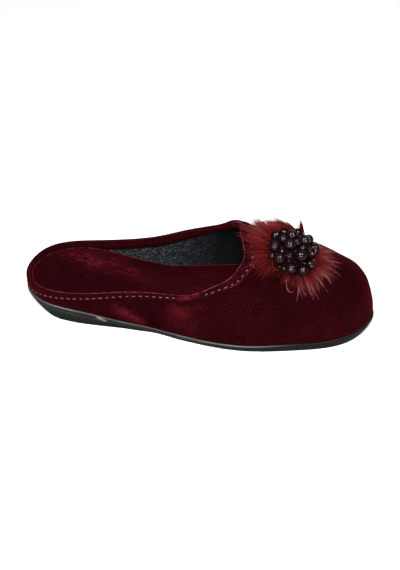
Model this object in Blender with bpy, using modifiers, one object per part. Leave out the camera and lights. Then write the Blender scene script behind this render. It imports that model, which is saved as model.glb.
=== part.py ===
"""A wedge house slipper for the right foot: a velvet mule with a fur puff and a bunch of glass beads.

The toe points along +X, the inner side of the foot along +Y and up along +Z. The slipper stands on
Z = 0, with the middle of its box over the origin. Sizes are in millimetres until they become
coordinates: along from the back of the heel, side from the slipper's long axis, up from the floor.
"""

import math

import bmesh
import bpy
import numpy as np
from mathutils import Matrix, Vector
from mathutils.bvhtree import BVHTree

MM = 0.001

# Driving sizes of a slipper for a foot of about 240 mm
LENGTH = 250.0
BALL_WIDTH = 90.0
INSTEP_HEIGHT = 66.5
WALL = 2.0
GAP = 0.3
MIDDLE_ALONG = 125.8
MIDDLE_SIDE = 0.9

# Mesh steps round the foot's edge, up the upper and across the ornament
EDGE_STEPS = 64
WALL_STEPS = 14
WALL_CROWDING = 1.3
PROFILE_STEPS = 120

# The upper, a row for each line that runs from the sole's edge up to the topline.
# Along is in percent of the length, side of the ball's width and height of the instep's height.
# Shoulder is how sharply the line turns in over the foot, ramp how much of its rise is a slope.
STATIONS = {
    # name: foot_along, foot_side, top_along, top_side, top_height, shoulder, ramp
    "heel_back": (0.7, 0.0, 0.7, 0.0, 30.4, 2.0, 0.90),
    "heel_corner_outer": (4.2, -24.6, 4.1, -24.9, 32.6, 2.0, 0.90),
    "heel_outer": (15.2, -38.3, 15.2, -38.7, 36.6, 2.0, 0.90),
    "waist_outer": (34.0, -39.4, 33.6, -37.2, 45.9, 2.0, 0.70),
    "joint_outer": (51.2, -46.1, 47.2, -36.1, 47.7, 2.2, 0.40),
    "ball_outer": (66.0, -48.9, 56.0, -35.0, 62.6, 2.6, 0.30),
    "toe_side_outer": (80.0, -41.1, 61.2, -28.9, 71.8, 4.0, 0.36),
    "toe_front_outer": (90.4, -31.1, 63.5, -22.2, 80.8, 7.0, 0.42),
    "toe_corner_outer": (96.8, -17.2, 64.5, -13.3, 91.0, 9.5, 0.44),
    "toe_tip": (100.0, 3.3, 62.2, 5.6, 100.0, 11.0, 0.44),
    "toe_corner_inner": (97.4, 22.2, 62.2, 17.8, 99.2, 9.5, 0.42),
    "toe_front_inner": (92.0, 37.8, 59.9, 24.2, 94.4, 7.0, 0.36),
    "toe_side_inner": (82.4, 47.8, 56.4, 27.4, 86.8, 4.4, 0.34),
    "ball_inner": (70.4, 51.1, 52.4, 29.4, 79.2, 2.8, 0.32),
    "joint_inner": (55.2, 43.9, 45.2, 31.1, 68.8, 2.2, 0.50),
    "waist_inner": (36.8, 32.8, 34.4, 30.6, 54.2, 2.0, 0.70),
    "heel_inner": (16.8, 36.1, 16.8, 35.6, 37.4, 2.0, 0.90),
    "heel_corner_inner": (4.3, 22.9, 4.2, 22.6, 31.6, 2.0, 0.90),
}
STATION_UNITS = (LENGTH, BALL_WIDTH, LENGTH, BALL_WIDTH, INSTEP_HEIGHT, 100.0, 100.0)
ROUNDNESS = 2.2

# The wedge, a row for each place along it: along (percent), sole_top and insole_top (mm)
WEDGE = (
    (0.0, 12.3, 18.6),
    (8.0, 12.0, 20.0),
    (16.0, 11.0, 20.4),
    (32.0, 7.6, 16.6),
    (40.0, 6.6, 14.4),
    (52.0, 5.8, 13.4),
    (66.0, 5.4, 13.2),
    (80.0, 6.6, 13.6),
    (100.0, 10.5, 16.0),
)
SOLE_TOP, INSOLE_TOP = 1, 2

# The outsole's underside and side wall
TOE_SPRING = 1.6
TOE_SPRING_FROM = 205.0
HEEL_ROCKER = 3.5
HEEL_ROCKER_TO = 15.0
WAIST_LIFT = 1.2
WAIST_FROM = 86.0
WAIST_TO = 122.0
LIP_OUT = 0.7
LIP_HEIGHT = 1.5
LIP_STEP = 0.5
SIDE_UNDERCUT = 2.4
HEEL_UNDERCUT = 9.0
HEEL_UNDERCUT_TO = 34.0
TOE_UNDERCUT = 2.6
TOE_UNDERCUT_FROM = 225.0
UNDERCUT_CURVE = 1.6
GROOVE_DEPTH = 0.5
GROOVE_END = 120.0
GROOVE_HALF = 0.07
GROOVES = (0.34, 0.64)

# The insole and the binding that folds over the topline
INSOLE_INSET = WALL + 0.6
INSOLE_ROUND = 1.2
HEEL_CUP = 0.8
BINDING_LEG = 5.6
BINDING_INSIDE = 7.2
BINDING_LEAST = 0.5
BINDING_THICK = 0.5
BINDING_CREST = 0.7

# The ornament: a domed pad on the vamp, with locks of fur round it and beads over it
ORNAMENT_ALONG = 191.0
ORNAMENT_SIDE = -3.2
ORNAMENT_SPREAD = 12.0
PAD_RADIUS = 15.0
PAD_HEIGHT = 10.0
PAD_STEPS = 24
SKIRT_THICK = 2.2
SKIRT_RADIUS = 19.0
LOCK_COUNT = 26
LOCK_START = 14.0
LOCK_WIDTH = 8.4
LOCK_THICK = 1.9
LOCK_TIP = 0.16
LOCK_CLEAR = 0.45
LOCK_SET = 0.2
LOCK_SIDES = 6
LOCK_BENDS = 3
SHORT_LOCK = 0.88
# How far the fur reaches and how high its tips lift, by the angle from the toe's direction
FUR_REACH = (
    # angle, reach, lift
    (0, 36.0, 1.5),
    (20, 37.0, 1.0),
    (45, 29.0, 1.5),
    (70, 26.0, 5.0),
    (90, 25.0, 7.0),
    (115, 31.0, 8.0),
    (140, 34.0, 4.0),
    (160, 32.0, 2.5),
    (180, 29.0, 1.5),
    (205, 27.0, 1.0),
    (230, 22.5, 1.0),
    (270, 22.5, 1.0),
    (290, 28.0, 1.0),
    (318, 34.0, 1.5),
    (340, 32.0, 1.5),
    (360, 36.0, 1.5),
)
LARGE_BEAD_SIDES = 10
SMALL_BEAD_SIDES = 8
# Beads by place on the pad: toward the toe, toward the inner side, diameter
LARGE_BEADS = (
    (-8.0, 14.4, 7.2),
    (-13.4, 8.9, 7.2),
    (-3.6, 7.3, 7.4),
    (5.6, 6.1, 7.4),
    (-13.3, -2.9, 7.2),
    (-4.0, -2.4, 7.4),
    (11.2, -1.2, 7.2),
    (5.0, -7.8, 7.4),
    (-8.4, -11.8, 7.2),
    (0.9, -16.0, 7.0),
    (8.9, -14.0, 7.0),
    (13.6, -8.0, 6.8),
    (0.6, 15.2, 7.2),
    (14.3, 7.0, 7.2),
    (9.0, 13.6, 7.2),
)
SMALL_BEADS = (
    (0.6, 1.8, 5.4),
    (-8.7, 3.0, 6.2),
    (-7.8, -6.2, 4.2),
    (-2.4, -9.2, 5.4),
    (4.9, -1.0, 4.4),
    (-14.2, 3.0, 4.2),
    (-3.6, -15.4, 3.4),
    (-13.4, -8.2, 4.6),
)

# Colours, roughness and metallic value of each stuff
FINISHES = {
    "velvet": ((0.055, 0.006, 0.012), 0.85, 0.0),
    "rubber": ((0.022, 0.024, 0.022), 0.6, 0.0),
    "fur": ((0.16, 0.022, 0.02), 0.8, 0.0),
    "glass": ((0.018, 0.01, 0.014), 0.12, 0.0),
}

STATION_ROWS = np.array(list(STATIONS.values())) * np.array(STATION_UNITS) / 100.0
WEDGE_ROWS = np.array(WEDGE) * np.array((LENGTH / 100.0, 1.0, 1.0))
TOE_ROW = list(STATIONS).index("toe_tip")


def smooth_step(low, high, value):
    """0 below low, 1 above high and an even turn between them."""
    share = min(max((value - low) / (high - low), 0.0), 1.0)
    return share * share * (3.0 - 2.0 * share)


def edge_knots():
    """Shares of the way round at each station: 0 at the heel's back, one half at the toe's tip."""
    foot = STATION_ROWS[:, :2]
    steps = np.linalg.norm(np.roll(foot, -1, axis=0) - foot, axis=1)
    outer = np.cumsum(steps[:TOE_ROW])
    inner = np.cumsum(steps[TOE_ROW:])
    return np.concatenate(((0.0,), 0.5 * outer / outer[-1], 0.5 + 0.5 * inner / inner[-1]))


def closed_bends(knots, rows):
    """Second derivatives of the smooth closed curve through the rows."""
    count = len(rows)
    spans = np.diff(knots)
    matrix = np.zeros((count, count))
    right = np.zeros(rows.shape)
    for here in range(count):
        before = here - 1
        after = (here + 1) % count
        matrix[here, before] += spans[before]
        matrix[here, here] += 2.0 * (spans[before] + spans[here])
        matrix[here, after] += spans[here]
        right[here] = 6.0 * ((rows[after] - rows[here]) / spans[here]
                             - (rows[here] - rows[before]) / spans[before])
    return np.linalg.solve(matrix, right)


KNOTS = edge_knots()
BENDS = closed_bends(KNOTS, STATION_ROWS)


def station(share):
    """The station columns at any share of the way round."""
    share = share % 1.0
    here = int(np.searchsorted(KNOTS, share, side="right")) - 1
    after = (here + 1) % len(STATION_ROWS)
    span = KNOTS[here + 1] - KNOTS[here]
    far = (share - KNOTS[here]) / span
    near = 1.0 - far
    line = near * STATION_ROWS[here] + far * STATION_ROWS[after]
    bow = (near ** 3 - near) * BENDS[here] + (far ** 3 - far) * BENDS[after]
    return line + bow * span * span / 6.0


def wedge_height(column, along):
    """A height of the wedge's table, as a smooth curve along the slipper."""
    places = WEDGE_ROWS[:, 0]
    values = WEDGE_ROWS[:, column]
    slopes = np.gradient(values, places)
    along = min(max(along, 0.0), LENGTH)
    here = min(int(np.searchsorted(places, along, side="right")) - 1, len(places) - 2)
    span = places[here + 1] - places[here]
    far = (along - places[here]) / span
    near = 1.0 - far
    turn = near * far * span * (near * slopes[here] - far * slopes[here + 1])
    ease = far * far * (3.0 - 2.0 * far)
    return values[here] + (values[here + 1] - values[here]) * ease + turn


def floor_height(along):
    """The outsole's underside: flat under heel and ball, lifted at its ends and waist."""
    toe = max(along - TOE_SPRING_FROM, 0.0) / (LENGTH - TOE_SPRING_FROM)
    heel = max(HEEL_ROCKER_TO - along, 0.0) / HEEL_ROCKER_TO
    waist = min(max((along - WAIST_FROM) / (WAIST_TO - WAIST_FROM), 0.0), 1.0)
    return TOE_SPRING * toe ** 2 + HEEL_ROCKER * heel ** 2 + WAIST_LIFT * math.sin(math.pi * waist) ** 2


def edge_point(share, outset):
    """A point of the sole's outline in plan, moved outward by outset."""
    step = 0.5 / EDGE_STEPS
    run = station(share + step)[:2] - station(share - step)[:2]
    outward = np.array((run[1], -run[0])) / np.linalg.norm(run)
    return station(share)[:2] + outward * outset


def profile(share):
    """The upper's outer face at one share of the way round, from the sole's edge to the topline."""
    columns = station(share)
    along, side = columns[:2]
    foot = np.array((along, side, wedge_height(SOLE_TOP, along) + GAP))
    shoulder, ramp = columns[5:7]
    inward = np.linspace(0.0, 1.0, PROFILE_STEPS) ** 2
    dome = (1.0 - (1.0 - inward) ** shoulder) ** (1.0 / ROUNDNESS)
    rise = (1.0 - ramp) * dome + ramp * inward
    return foot + (columns[2:5] - foot) * np.stack((inward, inward, rise), axis=1)


def below_top(share, distance):
    """The point of the outer face that lies a distance down from the topline, or above it if negative."""
    line = profile(share)[::-1]
    lengths = np.concatenate(((0.0,), np.cumsum(np.linalg.norm(np.diff(line, axis=0), axis=1))))
    if distance < 0.0:
        return line[0] + (line[0] - line[1]) / lengths[1] * -distance
    return np.array([np.interp(distance, lengths, line[:, axis]) for axis in range(3)])


def profile_length(share):
    """The length of the upper's outer face at one share of the way round."""
    return float(np.linalg.norm(np.diff(profile(share), axis=0), axis=1).sum())


def wall_point(share, distance, outset):
    """A point of the wall by its distance below the topline, moved outward by outset."""
    step = 0.5 / EDGE_STEPS
    rise = below_top(share, distance - GAP) - below_top(share, distance + GAP)
    run = below_top(share + step, distance) - below_top(share - step, distance)
    outward = np.cross(run, rise)
    return below_top(share, distance) + outward / np.linalg.norm(outward) * outset


def placed(point):
    """A point of the tables as a coordinate of the part."""
    return Vector(((point[0] - MIDDLE_ALONG) * MM, (point[1] - MIDDLE_SIDE) * MM, point[2] * MM))


def warped_grid(columns, rows, place):
    """A grid whose points go where place(column, row) says, with its seams and poles merged."""
    shape = bmesh.new()
    bmesh.ops.create_grid(shape, x_segments=columns, y_segments=rows, size=0.5)
    for vertex in shape.verts:
        column = round((vertex.co.x + 0.5) * columns)
        row = round((vertex.co.y + 0.5) * rows)
        vertex.co = place(column, row)
    bmesh.ops.remove_doubles(shape, verts=shape.verts, dist=0.01 * MM)
    return shape


def new_object(name, shape, finish, collection):
    """An object of one mesh, shaded smooth, with the material of its stuff."""
    mesh = bpy.data.meshes.new(name)
    shape.to_mesh(mesh)
    shape.free()
    mesh.shade_smooth()
    mesh.materials.append(finish)
    made = bpy.data.objects.new(name, mesh)
    collection.objects.link(made)
    return made


def new_finish(name):
    """A Principled material in the colour of one stuff."""
    colour, roughness, metallic = FINISHES[name]
    finish = bpy.data.materials.new(name)
    finish.use_nodes = True
    shader = finish.node_tree.nodes["Principled BSDF"]
    shader.inputs["Base Color"].default_value = (*colour, 1.0)
    shader.inputs["Roughness"].default_value = roughness
    shader.inputs["Metallic"].default_value = metallic
    return finish


def wall_row_distance(share, row):
    """How far below the topline a row of the upper's grid lies, closer together near the sole."""
    plain_steps = WALL_STEPS - 2
    if row >= plain_steps:
        return BINDING_LEG * (WALL_STEPS - row) / 2.0
    plain = profile_length(share) - BINDING_LEG
    return BINDING_LEG + plain * (1.0 - (row / plain_steps) ** WALL_CROWDING)


def make_upper(finish, collection):
    """The hollow upper: its outer face from sole to topline, given its wall inward."""
    def place(column, row):
        share = column / EDGE_STEPS
        return placed(below_top(share, wall_row_distance(share, row)))

    upper = new_object("upper", warped_grid(EDGE_STEPS, WALL_STEPS, place), finish, collection)
    wall = upper.modifiers.new("wall", "SOLIDIFY")
    wall.thickness = WALL * MM
    wall.offset = -1.0
    wall.use_even_offset = True
    return upper


def across_rows(loops):
    """A placing function for a slab between two skins: loops of edge points, closed along its spine."""
    def place(column, row):
        if 0 < row <= len(loops):
            return placed(loops[row - 1](column / EDGE_STEPS))
        loop = loops[0] if row == 0 else loops[-1]
        share = column / EDGE_STEPS
        return placed((loop(share) + loop(1.0 - share)) / 2.0)

    return place


def undercut(along):
    """How far the outsole's side turns in toward the floor."""
    heel = 1.0 - smooth_step(0.0, HEEL_UNDERCUT_TO, along)
    toe = smooth_step(TOE_UNDERCUT_FROM, LENGTH, along)
    return SIDE_UNDERCUT + (HEEL_UNDERCUT - SIDE_UNDERCUT) * heel + (TOE_UNDERCUT - SIDE_UNDERCUT) * toe


def sole_wall(drop, cut):
    """A loop of the outsole's side: drop is the share from the lip down to the floor, cut a groove."""
    def loop(share):
        along = station(share)[0]
        depth = GROOVE_DEPTH * cut * (1.0 - smooth_step(GROOVE_END / 2.0, GROOVE_END, along))
        edge = edge_point(share, -undercut(along) * drop ** UNDERCUT_CURVE - depth)
        top = wedge_height(SOLE_TOP, along) - LIP_HEIGHT - LIP_STEP
        return np.array((*edge, top + (floor_height(edge[0]) - top) * drop))

    return loop


def sole_lip(drop):
    """A loop of the lip round the outsole's top."""
    def loop(share):
        along = station(share)[0]
        return np.array((*edge_point(share, LIP_OUT), wedge_height(SOLE_TOP, along) - drop))

    return loop


def make_outsole(finish, collection):
    """The wedge unit: underside, side with two grooves at the heel, lip and top."""
    loops = [sole_wall(1.0, 0.0)]
    for groove in reversed(GROOVES):
        loops += [sole_wall(groove + GROOVE_HALF, 0.0), sole_wall(groove, 1.0),
                  sole_wall(groove - GROOVE_HALF, 0.0)]
    loops += [sole_wall(0.0, 0.0), sole_lip(LIP_HEIGHT), sole_lip(0.0)]
    shape = warped_grid(EDGE_STEPS, len(loops) + 1, across_rows(loops))
    return new_object("outsole", shape, finish, collection)


def insole_loop(inset, above_sole, below_top_face):
    """A loop of the insole's edge, measured up from the outsole or down from its own top."""
    def loop(share):
        edge = edge_point(share, -INSOLE_INSET - inset)
        low = wedge_height(SOLE_TOP, edge[0]) + GAP
        high = wedge_height(INSOLE_TOP, edge[0]) - below_top_face
        return np.array((*edge, low if above_sole else high))

    return loop


def make_insole(finish, collection):
    """The padded footbed that fills the wedge inside the upper, with its top edge rounded."""
    loops = [insole_loop(0.0, True, 0.0), insole_loop(0.0, False, INSOLE_ROUND),
             insole_loop(INSOLE_ROUND, False, 0.0), insole_loop(INSOLE_ROUND * 5.0, False, HEEL_CUP / 2.0)]
    shape = warped_grid(EDGE_STEPS, len(loops) + 1, across_rows(loops))
    return new_object("insole", shape, finish, collection)


def inside_leg(share):
    """How far the binding reaches down inside: its full leg, or less where the insole is close below."""
    along, height = station(share)[[0, 4]]
    room = height - wedge_height(INSOLE_TOP, along) - GAP
    return min(max(room, BINDING_LEAST), BINDING_INSIDE)


def make_binding(finish, collection):
    """The velvet strip folded over the topline: two legs that hug the wall and a round crest."""
    outer = GAP
    inner = -WALL - GAP
    thick = BINDING_THICK
    section = (
        # outset from the outer face, share of a leg down from the topline, rise above it
        (outer, 1.0, 0.0),
        (outer + thick, 1.0, 0.0),
        (outer + thick, 0.5, 0.0),
        (outer + thick * 0.8, 0.0, GAP),
        (-WALL / 2.0, 0.0, GAP + BINDING_CREST),
        (inner - thick * 0.8, 0.0, GAP),
        (inner - thick, 0.5, 0.0),
        (inner - thick, 1.0, 0.0),
        (inner, 1.0, 0.0),
        (inner, 0.0, GAP),
        (outer, 0.0, GAP),
    )

    def place(column, row):
        share = column / EDGE_STEPS
        outset, leg_share, above = section[row % len(section)]
        leg = BINDING_LEG if outset > 0.0 else inside_leg(share)
        return placed(wall_point(share, leg * leg_share - above, outset))

    shape = warped_grid(EDGE_STEPS, len(section), place)
    bmesh.ops.recalc_face_normals(shape, faces=shape.faces)
    return new_object("collar_binding", shape, finish, collection)


class Ornament:
    """The ornament's own frame on the vamp: toward the toe, toward the inner side, and out."""

    def __init__(self, upper):
        self.skin = BVHTree.FromObject(upper, bpy.context.evaluated_depsgraph_get())
        high = INSTEP_HEIGHT * 2.0
        down = Vector((0.0, 0.0, -1.0))
        self.origin = self.skin.ray_cast(placed((ORNAMENT_ALONG, ORNAMENT_SIDE, high)), down)[0]
        out = Vector()
        for turn in range(8):
            angle = math.tau * turn / 8
            along = ORNAMENT_ALONG + ORNAMENT_SPREAD * math.cos(angle)
            side = ORNAMENT_SIDE + ORNAMENT_SPREAD * math.sin(angle)
            out += self.skin.ray_cast(placed((along, side, high)), down)[1]
        self.out = out.normalized()
        self.across = self.out.cross(Vector((1.0, 0.0, 0.0))).normalized()
        self.ahead = self.across.cross(self.out)
        self.ball = (PAD_RADIUS ** 2 + PAD_HEIGHT ** 2) / (2.0 * PAD_HEIGHT)

    def point(self, ahead, across, out):
        """A point by its sizes in the ornament's frame."""
        return self.origin + (self.ahead * ahead + self.across * across + self.out * out) * MM

    def on_vamp(self, ahead, across, above):
        """A point above the vamp, under a place of the ornament."""
        start = self.point(ahead, across, INSTEP_HEIGHT)
        hit, normal = self.skin.ray_cast(start, -self.out)[:2]
        return hit + normal * (above * MM)

    def on_ball(self, ahead, across, above):
        """A point above the pad's round top."""
        radius = self.ball + above
        return self.point(ahead, across,
                          PAD_HEIGHT - self.ball + math.sqrt(radius ** 2 - ahead ** 2 - across ** 2))


def make_pad(ornament):
    """The fur's body: flat under, a thin skirt round it and a ball's cap on top."""
    rows = (
        # radius, place: under the pad, on the skirt or on the round top
        (0.0, "under"), (PAD_RADIUS * 0.5, "under"), (PAD_RADIUS, "under"), (SKIRT_RADIUS, "under"),
        (SKIRT_RADIUS, "skirt"), (PAD_RADIUS * 1.1, "skirt"), (PAD_RADIUS * 0.9, "round"),
        (PAD_RADIUS * 0.68, "round"), (PAD_RADIUS * 0.45, "round"), (PAD_RADIUS * 0.22, "round"),
        (0.0, "round"),
    )

    def place(column, row):
        angle = math.tau * column / PAD_STEPS
        radius, where = rows[row]
        ahead = radius * math.cos(angle)
        across = radius * math.sin(angle)
        if where == "round":
            return ornament.on_ball(ahead, across, 0.0)
        return ornament.on_vamp(ahead, across, LOCK_CLEAR if where == "under" else SKIRT_THICK)

    shape = warped_grid(PAD_STEPS, len(rows) - 1, place)
    bmesh.ops.recalc_face_normals(shape, faces=shape.faces)
    return shape


def make_lock(ornament, number):
    """One lock of fur: a flat cone laid out along the vamp, its tip lifted."""
    degrees = 360.0 * number / LOCK_COUNT
    angle, reach, lift = (np.interp(degrees, *zip(*[(row[0], row[column]) for row in FUR_REACH]))
                          for column in range(3))
    reach *= 1.0 if number % 2 else SHORT_LOCK
    length = reach - LOCK_START
    turn = math.radians(angle)
    shape = bmesh.new()
    bmesh.ops.create_cone(shape, cap_ends=True, segments=LOCK_SIDES, radius1=0.5,
                          radius2=0.5 * LOCK_TIP, depth=1.0,
                          matrix=Matrix.Translation((0.0, 0.0, 0.5)))
    long_edges = [edge for edge in shape.edges if abs(edge.verts[0].co.z - edge.verts[1].co.z) > 0.5]
    bmesh.ops.subdivide_edges(shape, edges=long_edges, cuts=LOCK_BENDS)
    for vertex in shape.verts:
        share = vertex.co.z
        radius = LOCK_START + length * share
        sway = vertex.co.x * LOCK_WIDTH
        height = LOCK_CLEAR + LOCK_SET + (0.5 + vertex.co.y) * LOCK_THICK + lift * share ** 2
        ahead = radius * math.cos(turn) - sway * math.sin(turn)
        across = radius * math.sin(turn) + sway * math.cos(turn)
        vertex.co = ornament.on_vamp(ahead, across, height)
    bmesh.ops.recalc_face_normals(shape, faces=shape.faces)
    return shape


def make_fur(ornament, finish, collection, locks):
    """The fur puff: its pad with every lock fused on."""
    fur = new_object("fur_puff", make_pad(ornament), finish, collection)
    for number in range(LOCK_COUNT):
        lock = new_object(f"lock_{number + 1:02d}", make_lock(ornament, number), finish, locks)
        lock.hide_render = True
        lock.display_type = "WIRE"
    fuse = fur.modifiers.new("fuse", "BOOLEAN")
    fuse.operation = "UNION"
    fuse.operand_type = "COLLECTION"
    fuse.collection = locks
    return fur


def make_beads(ornament, name, table, segments, finish, collection):
    """Round beads sewn on the pad, each resting on its round top."""
    for number, (ahead, across, diameter) in enumerate(table, start=1):
        radius = diameter / 2.0
        centre = ornament.on_ball(ahead, across, radius + GAP)
        shape = bmesh.new()
        bmesh.ops.create_uvsphere(shape, u_segments=segments, v_segments=segments // 2 + 1,
                                  radius=radius * MM)
        bead = new_object(f"{name}_{number:02d}", shape, finish, collection)
        bead.location = centre


def new_collection(name):
    """A collection of its own in the scene."""
    collection = bpy.data.collections.new(name)
    bpy.context.scene.collection.children.link(collection)
    return collection


def main():
    for old in list(bpy.data.objects):
        bpy.data.objects.remove(old, do_unlink=True)
    parts = new_collection("wedge_house_slipper")
    locks = new_collection("fur_locks")
    finishes = {name: new_finish(name) for name in FINISHES}
    make_outsole(finishes["rubber"], parts)
    make_insole(finishes["velvet"], parts)
    upper = make_upper(finishes["velvet"], parts)
    make_binding(finishes["velvet"], parts)
    bpy.context.view_layer.update()
    ornament = Ornament(upper)
    make_fur(ornament, finishes["fur"], parts, locks)
    make_beads(ornament, "bead_large", LARGE_BEADS, LARGE_BEAD_SIDES, finishes["glass"], parts)
    make_beads(ornament, "bead_small", SMALL_BEADS, SMALL_BEAD_SIDES, finishes["glass"], parts)


main()
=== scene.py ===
# %% [markdown]
# # A velvet wedge slipper with a fur puff and glass beads
#
# The frame that is loaded here holds a plain solid for every piece of the slipper. This lesson dresses
# those solids: brushed and creased velvet, a stitched binding, a moulded rubber wedge, hair and polished
# glass. Each new mesh stands in for the solid that it names, stays where that solid is, and rides on the
# slipper's one body, because nothing on it moves.

import math

import bmesh
import bpy
import numpy as np
from mathutils import Matrix, Vector
from mathutils.bvhtree import BVHTree


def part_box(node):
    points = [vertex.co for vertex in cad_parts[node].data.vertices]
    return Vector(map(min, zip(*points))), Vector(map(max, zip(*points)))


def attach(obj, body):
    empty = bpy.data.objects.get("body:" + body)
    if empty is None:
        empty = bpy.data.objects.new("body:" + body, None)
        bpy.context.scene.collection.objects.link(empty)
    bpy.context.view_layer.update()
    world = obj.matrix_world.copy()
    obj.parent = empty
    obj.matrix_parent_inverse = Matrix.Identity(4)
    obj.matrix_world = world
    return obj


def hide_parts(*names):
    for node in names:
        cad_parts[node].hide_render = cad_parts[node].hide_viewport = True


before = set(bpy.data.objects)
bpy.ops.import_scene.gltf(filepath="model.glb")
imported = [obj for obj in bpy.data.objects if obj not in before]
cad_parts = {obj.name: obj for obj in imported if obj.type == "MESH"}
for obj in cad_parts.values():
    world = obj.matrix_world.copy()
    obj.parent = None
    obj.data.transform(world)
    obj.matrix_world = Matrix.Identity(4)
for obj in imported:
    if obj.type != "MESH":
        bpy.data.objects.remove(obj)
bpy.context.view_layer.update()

# %% [markdown]
# ## Camera
#
# The photograph looks down on the outer side of the slipper from a little toward its toe. A camera could
# be placed by eye, but a fit of the sole's known length gave its angles, distance and focal length, so they
# are written here as plain sizes. The lens comes from the focal length in pixels, because Blender spreads
# the sensor over the picture's longer side.

# %% Place the camera
MM = 0.001
PICTURE_HEIGHT = 570
FOCAL_PIXELS = 1159.7
CAMERA_AZIMUTH = math.radians(10.66)
CAMERA_ELEVATION = math.radians(37.35)
CAMERA_DISTANCE = 0.822
CAMERA_AIM = Vector((1.7, -0.9, 19.7)) * MM

camera_data = bpy.data.cameras.new("camera")
camera_data.lens = FOCAL_PIXELS * camera_data.sensor_width / PICTURE_HEIGHT
camera = bpy.data.objects.new("camera", camera_data)
toward_camera = Vector((math.sin(CAMERA_AZIMUTH) * math.cos(CAMERA_ELEVATION),
                        -math.cos(CAMERA_AZIMUTH) * math.cos(CAMERA_ELEVATION),
                        math.sin(CAMERA_ELEVATION)))
camera.location = CAMERA_AIM + toward_camera * CAMERA_DISTANCE
camera.rotation_euler = toward_camera.to_track_quat("Z", "Y").to_euler()
bpy.context.scene.collection.objects.link(camera)
bpy.context.scene.camera = camera
print("camera lens:", round(camera_data.lens, 2), "mm")

# %% [markdown]
# ## Floor and studio light
#
# The slipper was photographed on white. Each bead shows a small group of four lights, as from a lamp with
# four bulbs near the camera, and the rest of the light came soft from overhead and from both sides. One big
# dome would leave the velvet flat, so a dim white surround carries one small lamp in front and three broad
# ones. Four small lamps round the front one make the lights in the beads: they show in reflections only, and
# light linking keeps them on the beads. The front lamp and the two at the sides stay out of reflections. The
# plain view transform and a faint glow keep the pale floor white.

# %% Light the floor
SURROUND_STRENGTH = 0.15
SOFT_BOXES = {
    # name: place (m), width (m), height (m), power (W)
    "front": ((0.09, -0.62, 0.68), 0.30, 0.30, 16.0),
    "key_left": ((-0.75, -0.55, 1.05), 1.2, 1.0, 3.2),
    "fill_right": ((0.95, -0.35, 0.85), 1.0, 1.0, 2.1),
    "top_back": ((0.1, 0.75, 1.15), 1.2, 0.8, 5.2),
}
NOT_REFLECTED = ("front", "key_left", "fill_right")
CATCH_SPACING, CATCH_SIZE, CATCH_POWER = 0.80, 0.12, 40.0
CATCH_CORNERS = ((-1, -1, 0), (1, -1, 0), (-1, 1, 0), (1, 1, 0))
FLOOR_SIZE = 4.0
FLOOR_WHITE = (0.9, 0.9, 0.9, 1.0)
FLOOR_GLOW = 0.15


def new_soft_box(name, place, width, height, power):
    """A rectangular lamp that looks at the middle of the slipper."""
    lamp = bpy.data.lights.new(name, "AREA")
    lamp.shape = "RECTANGLE"
    lamp.size = width
    lamp.size_y = height
    lamp.energy = power
    box = bpy.data.objects.new(name, lamp)
    box.location = place
    box.rotation_euler = (box.location - CAMERA_AIM).to_track_quat("Z", "Y").to_euler()
    bpy.context.scene.collection.objects.link(box)
    return box


lamps = {name: new_soft_box(name, *row) for name, row in SOFT_BOXES.items()}
for name in NOT_REFLECTED:
    lamps[name].visible_glossy = False
front_turn = lamps["front"].rotation_euler.to_matrix()
catch_lit = bpy.data.collections.new("catch_lit")
for number, corner in enumerate(CATCH_CORNERS):
    place = lamps["front"].location + front_turn @ Vector(corner) * (CATCH_SPACING / 2.0)
    catch = new_soft_box(f"catch_{number + 1}", place, CATCH_SIZE, CATCH_SIZE, CATCH_POWER)
    catch.visible_diffuse = False
    catch.light_linking.receiver_collection = catch_lit

surround = bpy.data.worlds.new("surround")
surround.use_nodes = True
surround.node_tree.nodes["Background"].inputs["Color"].default_value = (1.0, 1.0, 1.0, 1.0)
surround.node_tree.nodes["Background"].inputs["Strength"].default_value = SURROUND_STRENGTH
bpy.context.scene.world = surround
bpy.context.scene.view_settings.view_transform = "Standard"

floor_shape = bmesh.new()
bmesh.ops.create_grid(floor_shape, x_segments=1, y_segments=1, size=FLOOR_SIZE / 2.0)
floor_mesh = bpy.data.meshes.new("floor")
floor_shape.to_mesh(floor_mesh)
floor_shape.free()
floor = bpy.data.objects.new("floor", floor_mesh)
bpy.context.scene.collection.objects.link(floor)
floor_paint = bpy.data.materials.new("pale_floor")
floor_paint.use_nodes = True
for socket, value in (("Base Color", FLOOR_WHITE), ("Roughness", 0.9), ("Specular IOR Level", 0.0),
                      ("Emission Color", FLOOR_WHITE), ("Emission Strength", FLOOR_GLOW)):
    floor_paint.node_tree.nodes["Principled BSDF"].inputs[socket].default_value = value
floor_mesh.materials.append(floor_paint)
print("lamps:", len(bpy.data.lights))

# %% [markdown]
# ## The form that the upper is pulled over
#
# A slipper's upper is pulled over a foot form, so its shape is a row of lines that run from the sole's edge
# up to the topline. The solid's mesh could be smoothed instead, but that would shrink it. The same small
# table that shaped the solid is read again here, and a closed curve through its rows gives as many lines as
# the finer mesh wants. Lengths are in millimetres: along from the back of the heel, side from the long axis.

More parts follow.
